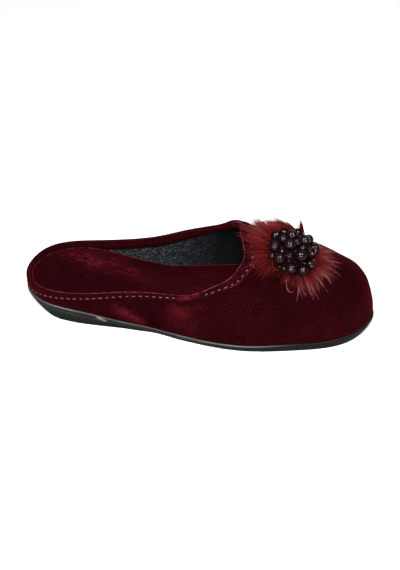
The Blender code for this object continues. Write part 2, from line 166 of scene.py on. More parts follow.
# %% Sizes of the form
LENGTH = 250.0
BALL_WIDTH = 90.0
INSTEP_HEIGHT = 66.5
WALL = 1.5
MIDDLE_ALONG = 125.8
MIDDLE_SIDE = 0.9
ROUNDNESS = 2.2
STATIONS = {
    # name: foot_along, foot_side, top_along, top_side, top_height, shoulder, ramp (percent)
    "heel_back": (0.7, 0.0, 0.7, 0.0, 30.4, 2.0, 0.90),
    "heel_corner_outer": (4.2, -24.6, 4.1, -24.9, 32.6, 2.0, 0.90),
    "heel_outer": (15.2, -38.3, 15.2, -38.7, 37.6, 2.0, 0.90),
    "waist_outer": (34.0, -39.4, 33.6, -37.2, 47.0, 2.0, 0.70),
    "joint_outer": (51.2, -46.1, 47.2, -36.1, 49.8, 2.2, 0.40),
    "fold_outer": (58.6, -48.7, 52.0, -36.0, 53.8, 2.4, 0.33),
    "ball_outer": (66.0, -48.9, 56.0, -35.0, 62.6, 2.6, 0.30),
    "toe_side_outer": (80.0, -41.1, 61.2, -28.9, 71.8, 4.0, 0.36),
    "toe_front_outer": (90.4, -31.1, 63.5, -22.2, 80.8, 7.0, 0.42),
    "toe_corner_outer": (96.8, -17.2, 64.5, -13.3, 91.0, 9.5, 0.44),
    "toe_tip": (100.0, 3.3, 62.2, 5.6, 100.0, 11.0, 0.44),
    "toe_corner_inner": (97.4, 22.2, 61.8, 17.8, 99.2, 9.5, 0.42),
    "toe_front_inner": (92.0, 37.8, 59.2, 24.2, 94.4, 7.0, 0.36),
    "toe_side_inner": (82.4, 47.8, 56.4, 27.4, 86.8, 4.4, 0.34),
    "ball_inner": (70.4, 51.1, 52.4, 29.4, 79.2, 2.8, 0.32),
    "joint_inner": (55.2, 43.9, 45.2, 31.1, 68.8, 2.2, 0.50),
    "waist_inner": (36.8, 32.8, 34.4, 30.6, 54.2, 2.0, 0.70),
    "heel_inner": (16.8, 36.1, 16.8, 35.6, 36.9, 2.0, 0.90),
    "heel_corner_inner": (4.3, 22.9, 4.2, 22.6, 34.0, 2.0, 0.90),
}
STATION_UNITS = np.array((LENGTH, BALL_WIDTH, LENGTH, BALL_WIDTH, INSTEP_HEIGHT, 100.0, 100.0))
STATION_ROWS = np.array(list(STATIONS.values())) * STATION_UNITS / 100.0
WEDGE_ROWS = np.array((
    # along, top of the outsole, top of the insole
    (0.0, 12.3, 18.6),
    (20.0, 12.0, 20.0),
    (40.0, 12.1, 20.4),
    (55.0, 11.0, 19.2),
    (66.0, 9.0, 18.1),
    (80.0, 6.8, 16.6),
    (100.0, 5.8, 14.4),
    (130.0, 4.9, 13.4),
    (165.0, 5.3, 13.2),
    (200.0, 6.3, 13.6),
    (215.0, 6.4, 14.2),
    (235.0, 7.6, 15.2),
    (250.0, 9.8, 16.0),
))
SOLE_TOP, INSOLE_TOP = 1, 2


# %% Smooth curves through the tables
def edge_knots():
    """Shares of the way round at each station: 0 at the heel's back, one half at the toe's tip."""
    foot = STATION_ROWS[:, :2]
    toe = list(STATIONS).index("toe_tip")
    steps = np.linalg.norm(np.roll(foot, -1, axis=0) - foot, axis=1)
    outer = np.cumsum(steps[:toe])
    inner = np.cumsum(steps[toe:])
    return np.concatenate(((0.0,), 0.5 * outer / outer[-1], 0.5 + 0.5 * inner / inner[-1]))


def closed_bends(knots, rows):
    """Second derivatives of the smooth closed curve through the rows."""
    count = len(rows)
    spans = np.diff(knots)
    matrix = np.zeros((count, count))
    right = np.zeros(rows.shape)
    for here in range(count):
        before = here - 1
        after = (here + 1) % count
        matrix[here, before] += spans[before]
        matrix[here, here] += 2.0 * (spans[before] + spans[here])
        matrix[here, after] += spans[here]
        right[here] = 6.0 * ((rows[after] - rows[here]) / spans[here]
                             - (rows[here] - rows[before]) / spans[before])
    return np.linalg.solve(matrix, right)


KNOTS = edge_knots()
BENDS = closed_bends(KNOTS, STATION_ROWS)


def stations(shares):
    """The station columns at each share of the way round."""
    shares = shares % 1.0
    here = np.searchsorted(KNOTS, shares, side="right") - 1
    after = (here + 1) % len(STATION_ROWS)
    span = (KNOTS[here + 1] - KNOTS[here])[:, None]
    far = (shares - KNOTS[here])[:, None] / span
    near = 1.0 - far
    line = near * STATION_ROWS[here] + far * STATION_ROWS[after]
    bow = (near ** 3 - near) * BENDS[here] + (far ** 3 - far) * BENDS[after]
    return line + bow * span ** 2 / 6.0


def wedge_height(column, along):
    """A height of the wedge's table, as a smooth curve along the slipper."""
    places = WEDGE_ROWS[:, 0]
    values = WEDGE_ROWS[:, column]
    slopes = np.gradient(values, places)
    along = np.clip(along, 0.0, LENGTH)
    here = np.clip(np.searchsorted(places, along, side="right") - 1, 0, len(places) - 2)
    span = places[here + 1] - places[here]
    far = (along - places[here]) / span
    near = 1.0 - far
    turn = near * far * span * (near * slopes[here] - far * slopes[here + 1])
    return values[here] + (values[here + 1] - values[here]) * far ** 2 * (3.0 - 2.0 * far) + turn


def smooth_step(low, high, value):
    """0 below low, 1 above high and an even turn between them."""
    share = np.clip((value - low) / (high - low), 0.0, 1.0)
    return share * share * (3.0 - 2.0 * share)


print("stations:", len(STATIONS), "wedge rows:", len(WEDGE_ROWS))

# %% [markdown]
# ## Finding places on the upper
#
# Velvet, binding and stitches all lie on the same wall, so one helper gives a point of that wall from a
# share of the way round and a depth below the topline, and another gives the way out from it. Measuring
# along the cloth, not straight down, keeps the binding the same width everywhere.

# %% Points of the wall
LINE_STEPS = 120
RUN_STEP = 0.004
RISE_STEP = 0.3


def wall_lines(shares):
    """Lines of the outer face from the topline to the sole, and the length run along each."""
    columns = stations(shares)
    along, side = columns[:, 0], columns[:, 1]
    foot = np.stack((along, side, wedge_height(SOLE_TOP, along)), axis=1)[:, None]
    shoulder, ramp = columns[:, 5, None], columns[:, 6, None]
    inward = np.linspace(1.0, 0.0, LINE_STEPS)[None] ** 2
    dome = (1.0 - (1.0 - inward) ** shoulder) ** (1.0 / ROUNDNESS)
    rise = (1.0 - ramp) * dome + ramp * inward
    inward = np.broadcast_to(inward, rise.shape)
    lines = foot + (columns[:, None, 2:5] - foot) * np.stack((inward, inward, rise), axis=2)
    steps = np.linalg.norm(np.diff(lines, axis=1), axis=2)
    lengths = np.concatenate((np.zeros((len(shares), 1)), np.cumsum(steps, axis=1)), axis=1)
    return lines, lengths


def wall(shares, depths):
    """Points of the outer face, one row of depths below the topline for each share."""
    lines, lengths = wall_lines(shares)
    points = np.empty(depths.shape + (3,))
    for number, row in enumerate(depths):
        for axis in range(3):
            points[number, :, axis] = np.interp(row, lengths[number], lines[number, :, axis])
        downward = (lines[number, 1] - lines[number, 0]) / lengths[number, 1]
        points[number] += np.minimum(row, 0.0)[:, None] * downward
    return points


def wall_out(shares, depths):
    """The way out from the wall at the same places."""
    run = wall(shares + RUN_STEP, depths) - wall(shares - RUN_STEP, depths)
    rise = wall(shares, depths - RISE_STEP) - wall(shares, depths + RISE_STEP)
    out = np.cross(run, rise)
    return out / np.linalg.norm(out, axis=-1, keepdims=True)


def placed(points):
    """Points of the tables, in millimetres, as coordinates of the frame."""
    return (points - (MIDDLE_ALONG, MIDDLE_SIDE, 0.0)) * MM


top_length = np.linalg.norm(np.diff(stations(np.linspace(0.0, 1.0, 400))[:, 2:5], axis=0), axis=1).sum()
print("topline length:", round(top_length), "mm")

# %% [markdown]
# ## Creases, brushing and painted light
#
# Worn velvet keeps a few soft creases, and its pile shows light and dark strokes where a hand has brushed
# it. Random noise alone would put them in the wrong places, so each one is a stroke between two places of
# the shoe, with a width and a strength, chosen from the photograph. Some of the strokes are painted light
# and shade: painted shade in the waist crease and under the fold, a painted highlight on the fold's rolled
# crest and a painted sheen at the toe. The same helper serves both: it moves the wall for a crease and
# writes a stored tone for a brushed or painted mark.

# %% Strokes
CREASES = (
    # start, end (along, side, up), width, height
    ((97, -34.5, 25), (103, -37, 8), 7.0, -1.1),
    ((116, -33.5, 32.6), (131, -33, 36.2), 1.9, 1.3),
    ((117, -34.5, 28.4), (134, -34, 32.0), 2.0, -1.9),
    ((112, -37.0, 23.5), (133, -38.0, 27.0), 4.0, 1.0),
    ((119, -38, 20), (126, -40, 12), 8.0, 0.5),
    ((150, -43, 20), (172, -43, 12), 8.0, -0.5),
    ((236, -16, 22), (246, 2, 24), 7.0, -0.5),
    ((196, 29.5, 51), (220, 28.5, 43), 9.0, -1.4),
    ((234, 19, 39), (241, 10, 38), 6.0, 1.0),
    ((92, 33, 30), (104, 36, 10), 7.0, -1.0),
    ((128, 36, 34), (150, 44, 14), 8.0, -0.8),
)
BRUSHED_AND_PAINTED_LIGHT = (
    # start, end (along, side, up), width, strength
    ((74, -35, 19.5), (80, -35, 16), 3.0, 0.25),
    ((80, -35, 16), (93, -36, 9), 2.6, 0.52),
    ((74, -35, 15), (86, -35.5, 9.5), 4.0, 0.12),
    # painted shade along the waist crease
    ((96, -35, 23), (102, -37, 11), 5.0, -0.10),
    ((116, -36, 25.0), (124, -38, 22.5), 4.0, 0.34),
    ((122, -37, 26.0), (133, -37, 29.5), 4.0, 0.16),
    ((116, -39, 16), (128, -40, 15), 7.0, 0.20),
    # painted highlight on the fold's rolled crest, where it faces the light (two strokes)
    ((119.5, -33.5, 31.6), (131.5, -33.7, 36.4), 1.4, 0.80),
    ((120.0, -33.8, 30.8), (126.0, -33.7, 33.0), 1.7, 0.25),
    # painted shade under the fold
    ((118, -34.5, 28.8), (133, -34, 32.0), 1.5, -0.12),
    ((152, -27, 46), (159, -19, 54), 3.5, 0.10),
    ((20, -29, 14), (60, -36, 12), 6.0, 0.05),
    ((150, -41, 30), (175, -41, 22), 9.0, 0.05),
    # painted sheen at the toe
    ((240, -14, 22), (247, -2, 24), 9.0, 0.14),
    ((205, -34, 18), (232, -24, 14), 8.0, 0.06),
    ((222, 26, 40), (242, 6, 38), 9.0, 0.10),
    ((96, 36, 20), (110, 39, 14), 7.0, 0.25),
    ((170, 44, 26), (196, 42, 22), 10.0, 0.12),
    ((2.0, 0.5, 21.5), (4.8, -0.5, 20.8), 0.7, -0.25),
    ((1.6, 2.0, 21.3), (5.0, 1.4, 20.8), 0.7, 0.30),
)


def strokes(points, table):
    """The sum of soft strokes at each point."""
    total = np.zeros(points.shape[:-1])
    for start, end, width, strength in table:
        start, run = np.array(start, float), np.array(end, float) - start
        share = np.clip((points - start) @ run / (run @ run), 0.0, 1.0)
        gap = np.linalg.norm(points - start - share[..., None] * run, axis=-1)
        total += strength * np.exp(-(gap / width) ** 2)
    return total


print("creases:", len(CREASES), "brushed marks:", len(BRUSHED_AND_PAINTED_LIGHT))

# %% [markdown]
# ## The velvet upper
#
# The upper is one hollow shell of velvet over a lining. It could be cut out of a block with booleans, but a
# grid pulled into shape keeps clean rows round the foot: the columns run round the edge, the rows climb from
# the sole to the topline. Each point moves out or in by the creases, the foot rolls under at the sole, and a
# Solidify modifier gives the wall, with the lining as the inner side's own material.

# %% Pull the upper into shape
UPPER_COLUMNS = 320
UPPER_ROWS = 76
ROW_CROWDING = 1.15
FOOT_ROLL = 0.5
FOOT_ROLL_REACH = 1.3
FOOT_SHADE = 0.07
CREASE_FADE = 5.0
SEAM_GAP = 0.005 * MM


def new_skin(points, tone_marks=None):
    """A grid with one vertex for each point of the array, a stored tone mark on it, and its seam merged."""
    columns, rows = points.shape[0] - 1, points.shape[1] - 1
    shape = bmesh.new()
    bmesh.ops.create_grid(shape, x_segments=columns, y_segments=rows, size=0.5)
    layer = shape.verts.layers.float.new("tone_marks")
    for vertex in shape.verts:
        column = round((vertex.co.x + 0.5) * columns)
        row = round((vertex.co.y + 0.5) * rows)
        vertex.co = placed(points[column, row])
        if tone_marks is not None:
            vertex[layer] = tone_marks[column, row]
    bmesh.ops.remove_doubles(shape, verts=shape.verts, dist=SEAM_GAP)
    return shape


def new_piece(name, shape, slot, *nodes):
    """An object of one mesh at the origin, on the slipper's body, that stands in for the nodes."""
    mesh = bpy.data.meshes.new(name)
    shape.to_mesh(mesh)
    shape.free()
    mesh.shade_smooth()
    piece = bpy.data.objects.new(name, mesh)
    bpy.context.scene.collection.objects.link(piece)
    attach(piece, "root")
    if nodes:
        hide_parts(*nodes)
    print(name, "faces:", len(mesh.polygons))
    return piece


shares = np.linspace(0.0, 1.0, UPPER_COLUMNS + 1)
lengths = wall_lines(shares)[1][:, -1:]
climb = np.linspace(0.0, 1.0, UPPER_ROWS + 1)[None] ** ROW_CROWDING
depths = lengths * (1.0 - climb)
above_foot = lengths - depths
upper_points = wall(shares, depths)
upper_tone_marks = strokes(upper_points, BRUSHED_AND_PAINTED_LIGHT)
moves = strokes(upper_points, CREASES) * (1.0 - np.exp(-(above_foot / CREASE_FADE) ** 2))
foot_here = np.exp(-(above_foot / FOOT_ROLL_REACH) ** 2)
moves -= FOOT_ROLL * foot_here
# painted shade: a dark strip along the foot of the velvet, just above the sole
upper_tone_marks -= FOOT_SHADE * foot_here
upper_points += wall_out(shares, depths) * moves[..., None]
upper = new_piece("upper_velvet", new_skin(upper_points, upper_tone_marks), "upper_velvet", "upper")
upper_wall = upper.modifiers.new("wall", "SOLIDIFY")
upper_wall.thickness = WALL * MM
upper_wall.offset = -1.0
upper_wall.use_even_offset = True
upper_wall.material_offset = 1

# %% [markdown]
# ## The binding and its stitches
#
# A velvet strip is folded over the raw topline and held by one row of pale running stitches. A curve with a
# bevel could make a round cord, but the strip has flat legs and a round crest, so its section is drawn once
# and carried round the topline. Under each stitch the strip is pulled in a little, which gives it the
# quilted edge of the real one.

# %% Fold the binding over the topline
BINDING_COLUMNS = 640
BINDING_INSIDE = {
    # station: how far the strip reaches down inside
    "heel_back": 7.2, "toe_side_outer": 7.2, "toe_corner_inner": 7.6, "toe_side_inner": 8.4,
    "joint_inner": 8.6, "waist_inner": 7.2,
}
BINDING_LEAST = 0.5
INSIDE_TUCK = 2.2
BINDING_OUT = 0.6
BINDING_IN = -WALL - 0.5
BINDING_CREST = 1.0
CREST_STEPS = 28
STITCH_DEPTHS = {
    # station: how far below the topline the stitches run
    "heel_back": 5.0, "heel_corner_outer": 5.6, "heel_outer": 3.3, "waist_outer": 2.0, "joint_outer": 1.3,
    "fold_outer": 1.5, "ball_outer": 3.5, "toe_side_outer": 4.9, "toe_front_outer": 5.0,
    "toe_corner_inner": 4.6, "ball_inner": 4.0, "heel_inner": 3.6,
}
STITCH_PITCH = 4.7
STITCH_PULL = 0.4
STITCH_BAND = 1.1
STRIP_MARGIN = 1.4
RIM_TURNS = {
    # station: where the pale line of rubbed pile and painted highlight runs on the crest, from 0 at its outer
    # edge to 1 at its inner edge
    "heel_back": 0.74, "heel_corner_outer": 0.66, "heel_outer": 0.52, "waist_outer": 0.46,
    "joint_outer": 0.32, "fold_outer": 0.16, "ball_outer": 0.11, "toe_side_outer": 0.14,
    "toe_front_outer": 0.28, "toe_corner_outer": 0.38, "toe_corner_inner": 0.44, "toe_front_inner": 0.75,
    "heel_corner_inner": 0.80,
}
# The crest's pale line is rubbed pile and painted highlight together; inside it lies painted shade.
RIM_RUB_AND_HIGHLIGHT, RIM_WIDTH = 1.45, 0.09
RIM_PAINTED_SHADE = 0.35
EDGE_NAP = 0.80
# The inner leg is painted lighter near the crest and darker toward its lower edge: painted shade under the
# band.
INSIDE_PAINTED_SHADING = 0.10
INSIDE_WAVES = 5.0
INSIDE_SHARES = (0.1, 0.2, 0.3, 0.45, 0.6, 0.75, 0.9)
THROAT_FROM, THROAT_TO = 140.0, 150.0
HEEL_RIM, HEEL_RIM_FROM, HEEL_RIM_TO = 0.25, 4.0, 26.0
FAR_FADE, FAR_FROM, FAR_TO = 0.8, -5.0, 15.0
FAR_ENDS_FROM, FAR_ENDS_TO = 145.0, 152.0
OUTER_LEAST = 0.1
BINDING_STROKE_SHARE = 0.7


def by_station(table, shares):
    """A value given at some stations, at any share of the way round."""
    knots = [KNOTS[list(STATIONS).index(name)] for name in table]
    return np.interp(shares, knots, list(table.values()), period=1.0)


def stitch_depth(shares):
    """How far below the topline the stitches run at each share."""
    return by_station(STITCH_DEPTHS, shares)


def stitch_shares():
    """Shares of the way round at the middle of each stitch, and the phase of the row at any share."""
    fine = np.linspace(0.0, 1.0, 2001)
    row = wall(fine, stitch_depth(fine)[:, None])[:, 0]
    run = np.concatenate(((0.0,), np.cumsum(np.linalg.norm(np.diff(row, axis=0), axis=1))))
    count = round(run[-1] / STITCH_PITCH)
    middles = np.interp((np.arange(count) + 0.5) / count * run[-1], run, fine)
    return middles, lambda places: np.interp(places, fine, run) / run[-1] * count


OUTER, CREST, INNER = 0, 1, 2
stitch_middles, stitch_phase = stitch_shares()
shares = np.linspace(0.0, 1.0, BINDING_COLUMNS + 1)
columns = stations(shares)
room = columns[:, 4] - wedge_height(INSOLE_TOP, columns[:, 0])
inside = np.clip(room + INSIDE_TUCK, BINDING_LEAST, by_station(BINDING_INSIDE, shares))
sewn = stitch_depth(shares)
crest_half = (BINDING_OUT - BINDING_IN) / 2.0
crest_middle = (BINDING_OUT + BINDING_IN) / 2.0
# Each row of the section: outset, share of its leg or depth, which leg, tone mark (on the crest, its turn)
section = [(0.05, 1.0, OUTER, 0.0), (0.45, 1.05, OUTER, EDGE_NAP), (BINDING_OUT - 0.1, 0.99, OUTER, EDGE_NAP)]
section += [(BINDING_OUT, share, OUTER, 0.0) for share in np.linspace(0.93, 0.08, 12)]
for step in range(CREST_STEPS + 1):
    turn = step / CREST_STEPS
    section.append((crest_middle + crest_half * math.cos(math.pi * turn),
                    -BINDING_CREST * math.sin(math.pi * turn), CREST, turn))
# painted shading on the inner leg, with painted shade toward its lower edge
for share in INSIDE_SHARES:
    section.append((BINDING_IN, share, INNER, INSIDE_PAINTED_SHADING * math.sin(INSIDE_WAVES * share)))
section += [(BINDING_IN + 0.3, 1.0, INNER, 0.0), (-WALL - 0.05, 0.95, INNER, 0.0),
            (-WALL - 0.05, 0.0, INNER, 0.0), (0.05, 0.0, INNER, 0.0)]
section.append(section[0])

depths = np.empty((len(shares), len(section)))
outsets = np.empty(depths.shape)
binding_tone_marks = np.empty(depths.shape)
pull = 0.5 + 0.5 * np.cos(math.tau * (stitch_phase(shares) - 0.5))
throat = smooth_step(THROAT_FROM, THROAT_TO, columns[:, 2])
rim_turn = by_station(RIM_TURNS, shares)
heel_rim = HEEL_RIM + (1.0 - HEEL_RIM) * smooth_step(HEEL_RIM_FROM, HEEL_RIM_TO, columns[:, 2])
far_side = smooth_step(FAR_FROM, FAR_TO, columns[:, 3])
far_side *= 1.0 - smooth_step(FAR_ENDS_FROM, FAR_ENDS_TO, columns[:, 2])
leg_tone_shares = (OUTER_LEAST + (1.0 - OUTER_LEAST) * throat, heel_rim * (1.0 - FAR_FADE * far_side), 1.0)
for row, (outset, depth, leg, tone_marks) in enumerate(section):
    depths[:, row] = depth * (sewn + STRIP_MARGIN, 1.0, inside)[leg]
    outsets[:, row] = outset
    if leg == CREST:
        # on the crest: a pale line, partly rubbed pile and partly painted highlight, then painted shade
        # toward the inner edge
        tone_marks = (RIM_RUB_AND_HIGHLIGHT * np.exp(-((tone_marks - rim_turn) / RIM_WIDTH) ** 2)
               - RIM_PAINTED_SHADE * smooth_step(RIM_WIDTH, 2.0 * RIM_WIDTH, tone_marks - rim_turn))
    binding_tone_marks[:, row] = tone_marks * leg_tone_shares[leg]
    if leg == OUTER and outset > BINDING_OUT / 2.0:
        outsets[:, row] -= STITCH_PULL * pull ** 2 * np.exp(-((depths[:, row] - sewn) / STITCH_BAND) ** 2)
binding_points = wall(shares, depths)
# the strokes lay the fold's painted highlight and painted shade on the binding too
binding_tone_marks += strokes(binding_points, BRUSHED_AND_PAINTED_LIGHT) * BINDING_STROKE_SHARE
outsets += strokes(binding_points, CREASES)
binding_points += wall_out(shares, depths) * outsets[..., None]
binding_shape = new_skin(binding_points, binding_tone_marks)
bmesh.ops.recalc_face_normals(binding_shape, faces=binding_shape.faces)
binding = new_piece("collar_binding_velvet", binding_shape, "binding_velvet", "collar_binding")

# %% Sew the stitches
STITCH_LENGTH = 2.5
STITCH_WIDTH = 0.7
STITCH_HEIGHT = 0.55
STITCH_SLANT = 0.14
STITCH_UNEVEN = 0.12
STITCH_LIFT = 0.48
FOLD_FROM, FOLD_TO = 116.5, 134.5
FOLD_TUCK = 1.2
sewing = np.random.default_rng(3)


def new_stitches():
    """One flattened bead of thread for each stitch, turned along the row."""
    shape = bmesh.new()
    at = stitch_depth(stitch_middles)[:, None]
    places = wall(stitch_middles, at)[:, 0]
    outs = wall_out(stitch_middles, at)[:, 0]
    folded = (places[:, 0] > FOLD_FROM) & (places[:, 0] < FOLD_TO) & (places[:, 1] < 0.0)
    lifts = STITCH_LIFT + strokes(places, CREASES) - FOLD_TUCK * folded
    runs = (wall(stitch_middles + RUN_STEP, at) - wall(stitch_middles - RUN_STEP, at))[:, 0]
    for place, out, run, lift in zip(places, outs, runs, lifts):
        out, run = Vector(out), Vector(run).normalized()
        run = Matrix.Rotation(STITCH_SLANT * sewing.normal(), 3, out) @ run
        side = out.cross(run).normalized()
        size = 1.0 + STITCH_UNEVEN * sewing.normal(size=2)
        turn = Matrix((run * STITCH_LENGTH * size[0], side * STITCH_WIDTH * size[1], out * STITCH_HEIGHT))
        middle = Vector(placed(place + np.array(out) * lift))
        matrix = Matrix.Translation(middle) @ (turn.transposed() * (0.5 * MM)).to_4x4()
        bmesh.ops.create_uvsphere(shape, u_segments=8, v_segments=6, radius=1.0, matrix=matrix)
    return shape


stitches = new_piece("collar_stitches", new_stitches(), "binding_velvet")

# %% [markdown]
# ## The padded insole
#
# The footbed is a foam wedge under a velvet cover: thick at the heel, thin at the ball, rounded where the
# cover turns down at its edge, and dished a little under the heel. A cloth simulation would puff it like a
# cushion, which this firm foam doesn't do, so its skin is built from loops round the edge that close along
# the middle line, with the dish worked into their heights.

# %% Build the insole
SLAB_COLUMNS = 480
INSOLE_INSET = 2.4
INSOLE_ROUND = 1.6
INSOLE_TURNS = 5
INSOLE_ACROSS = np.linspace(0.02, 1.0, 44)
HEEL_DISH = 1.1
BALL_DISH = 0.7
INSOLE_EDGE_NAP = 0.8
INSOLE_EDGE_PAINTED_SHADE = 0.15
INSOLE_BRUSHED_AND_PAINTED_LIGHT = (
    # start, end (along, side, up), width, strength
    ((17, 25, 20), (66, 25, 18), 8.0, 0.13),
    ((30, 19, 20), (62, 12, 18), 8.0, 0.11),
    ((44, 14, 20), (62, 9, 18), 4.0, 0.07),
    ((62, 17, 18), (84, 7, 16), 8.0, 0.07),
    ((76, 14, 17), (90, 8, 15), 4.0, 0.06),
    ((76, 6, 17), (92, 2, 15), 5.0, 0.07),
    ((12, -14, 20), (40, -22, 20), 9.0, -0.05),
    ((60, -18, 18), (110, -14, 14), 12.0, -0.03),
    # painted light over the fore part, which lies in the vamp's shade
    ((118, 0, 14), (165, 0, 13), 26.0, 0.16),
)
SCUFFED = (
    # start, end (along, side, up) of the line that scratches lie about, spread, how many
    ((28, 20, 20), (64, 13, 18), 8.5, 110),
    ((66, 15, 17), (90, 7, 15), 7.0, 34),
)
SCRATCH_WIDTHS = (0.35, 0.7)
SCRATCH_STRENGTHS = (0.08, 0.42)
SCRATCH_SCATTER = (0.5, 0.8, 0.0)
INSOLE_CLEAR = 0.1
DISH_FROM, DISH_TO, DISH_ENDS, DISH_ACROSS = 50.0, 110.0, 25.0, 0.6
FAR_EDGE, HEEL_EDGE = (-12.0, 5.0), (12.0, 30.0)
EDGE_ROWS, PAINTED_SHADE_ROWS = slice(6, 8), slice(8, 12)
scratching = np.random.default_rng(8)


def scratches():
    """Thin strokes of laid nap, scattered along the scuffed lines."""
    table = []
    for start, end, spread, count in SCUFFED:
        for share in scratching.random(count):
            middle = np.array(start) + share * np.subtract(end, start)
            middle = middle + spread * scratching.normal(size=3) * SCRATCH_SCATTER
            half = scratching.uniform(1.0, 5.0) * np.array((1.0, scratching.uniform(-0.6, 0.0), 0.0))
            width, strength = (scratching.uniform(*limits) for limits in (SCRATCH_WIDTHS, SCRATCH_STRENGTHS))
            table.append((tuple(middle - half), tuple(middle + half), width, strength))
    return table


def outline(shares, outset):
    """The sole's outline in plan, moved outward by outset."""
    run = stations(shares + RUN_STEP)[:, :2] - stations(shares - RUN_STEP)[:, :2]
    outward = np.stack((run[:, 1], -run[:, 0]), axis=1) / np.linalg.norm(run, axis=1)[:, None]
    return stations(shares)[:, :2] + outward * np.reshape(outset, (-1, 1))


def toward_spine(edge, share):
    """A loop moved in from the edge toward the middle line, and closed on it at a share of 1."""
    return edge + (edge[::-1] - edge) * share / 2.0


shares = np.linspace(0.0, 1.0, SLAB_COLUMNS + 1)
rows = []
foot = outline(shares, -INSOLE_INSET)
low = wedge_height(SOLE_TOP, foot[:, 0]) + INSOLE_CLEAR
for share in (1.0, 0.0):
    rows.append(np.column_stack((toward_spine(foot, share), low)))
for step in range(INSOLE_TURNS + 1):
    turn = math.pi / 2.0 * step / INSOLE_TURNS
    edge = outline(shares, -INSOLE_INSET - INSOLE_ROUND * (1.0 - math.cos(turn)))
    high = wedge_height(INSOLE_TOP, edge[:, 0]) - INSOLE_ROUND * (1.0 - math.sin(turn))
    rows.append(np.column_stack((edge, high)))
for share in INSOLE_ACROSS:
    inner = toward_spine(edge, share)
    heel = 1.0 - smooth_step(DISH_FROM, DISH_TO, inner[:, 0])
    ends = smooth_step(0.0, DISH_ENDS, inner[:, 0]) * smooth_step(0.0, DISH_ENDS, LENGTH - inner[:, 0])
    dish = (BALL_DISH + (HEEL_DISH - BALL_DISH) * heel) * ends * smooth_step(0.0, DISH_ACROSS, share)
    rows.append(np.column_stack((inner, wedge_height(INSOLE_TOP, inner[:, 0]) - dish)))
insole_points = np.stack(rows, axis=1)
insole_tone_marks = strokes(insole_points, INSOLE_BRUSHED_AND_PAINTED_LIGHT) + strokes(insole_points, scratches())
far_edge = smooth_step(*FAR_EDGE, foot[:, 1])
far_edge = np.maximum(far_edge, 1.0 - smooth_step(*HEEL_EDGE, foot[:, 0]))[:, None]
insole_tone_marks[:, EDGE_ROWS] += INSOLE_EDGE_NAP * far_edge
# painted shade: on the near side, away from the heel, a dark strip just inside the insole's edge, where it
# meets the wall
insole_tone_marks[:, PAINTED_SHADE_ROWS] -= INSOLE_EDGE_PAINTED_SHADE * (1.0 - far_edge)
insole_shape = new_skin(insole_points, insole_tone_marks)
insole = new_piece("insole_velvet_pad", insole_shape, "insole_velvet", "insole")

# %% [markdown]
# ## The moulded outsole
#
# The wedge unit comes out of one mould: a lip round the top, a side that rolls under at heel and toe, two
# fine grooves round the heel, and a ribbed tread. Booleans could cut each groove, but every detail runs
# round or across the sole, so loops of the same kind as the insole's carry them, and the ribs of the tread
# are waves in the height of the underside.

# %% Mould the outsole
OUTSOLE_COLUMNS = 480
TOE_SPRING, TOE_SPRING_FROM = 1.7, 220.0
HEEL_ROCKER, HEEL_ROCKER_TO = 2.6, 15.0
WAIST_LIFT, WAIST_FROM, WAIST_TO = 1.2, 86.0, 122.0
LIP_DROP = 2.0
LIP_SECTION = (
    # outset, drop below the top
    (0.0, 2.0), (0.35, 1.85), (0.62, 1.6), (0.7, 1.25), (0.7, 0.55), (0.6, 0.2), (0.35, 0.0), (-1.5, 0.0),
)
SIDE_UNDERCUT, HEEL_UNDERCUT, TOE_UNDERCUT = 1.2, 7.4, 2.2
HEEL_UNDERCUT_TO, TOE_UNDERCUT_FROM = 34.0, 235.0
UNDERCUT_CURVE = 1.6
GROOVES = (0.34, 0.64)
GROOVE_DEPTH = 0.6
GROOVE_HALF = 0.055
GROOVE_END = 120.0
SIDE_DROPS = np.linspace(0.96, 0.0, 40)
TREAD_PITCH = 7.0
TREAD_DEPTH = 0.9
TREAD_ACROSS = (1.0, 0.8, 0.6, 0.45, 0.3, 0.2, 0.16, 0.08)
TREAD_EDGE = 0.18
TREAD_RIM = 0.012
RIB_LEVEL, RIB_SWING = 0.5, 1.2
SMOOTH_FROM, SMOOTH_TO = (80.0, 88.0), (122.0, 130.0)
LIP_HIGHLIGHTS = np.array((
    # along, how strong the painted highlight along the lip is
    (0, 0.45), (20, 0.62), (34, 1.00), (43, 0.90), (50, 0.50), (66, 0.50), (85, 0.46), (96, 0.30),
    (117, 0.44), (132, 0.58), (175, 0.74), (190, 0.36), (204, 0.08), (250, 0.02),
))
SOLE_SCUFFS = (
    # start, end (along, side, up), width, strength
    ((62.0, -36.4, 8.6), (66.5, -36.0, 6.4), 0.9, 0.9),
    ((20, -30, 9.5), (44, -35, 9.0), 0.8, 0.03),
    ((120, -41, 4.0), (138, -43, 3.8), 0.7, 0.05),
)


def floor_height(along):
    """The underside: flat under heel and ball, lifted at its ends and waist."""
    toe = np.maximum(along - TOE_SPRING_FROM, 0.0) / (LENGTH - TOE_SPRING_FROM)
    heel = np.maximum(HEEL_ROCKER_TO - along, 0.0) / HEEL_ROCKER_TO
    waist = np.clip((along - WAIST_FROM) / (WAIST_TO - WAIST_FROM), 0.0, 1.0)
    return TOE_SPRING * toe ** 2 + HEEL_ROCKER * heel ** 2 + WAIST_LIFT * np.sin(math.pi * waist) ** 2


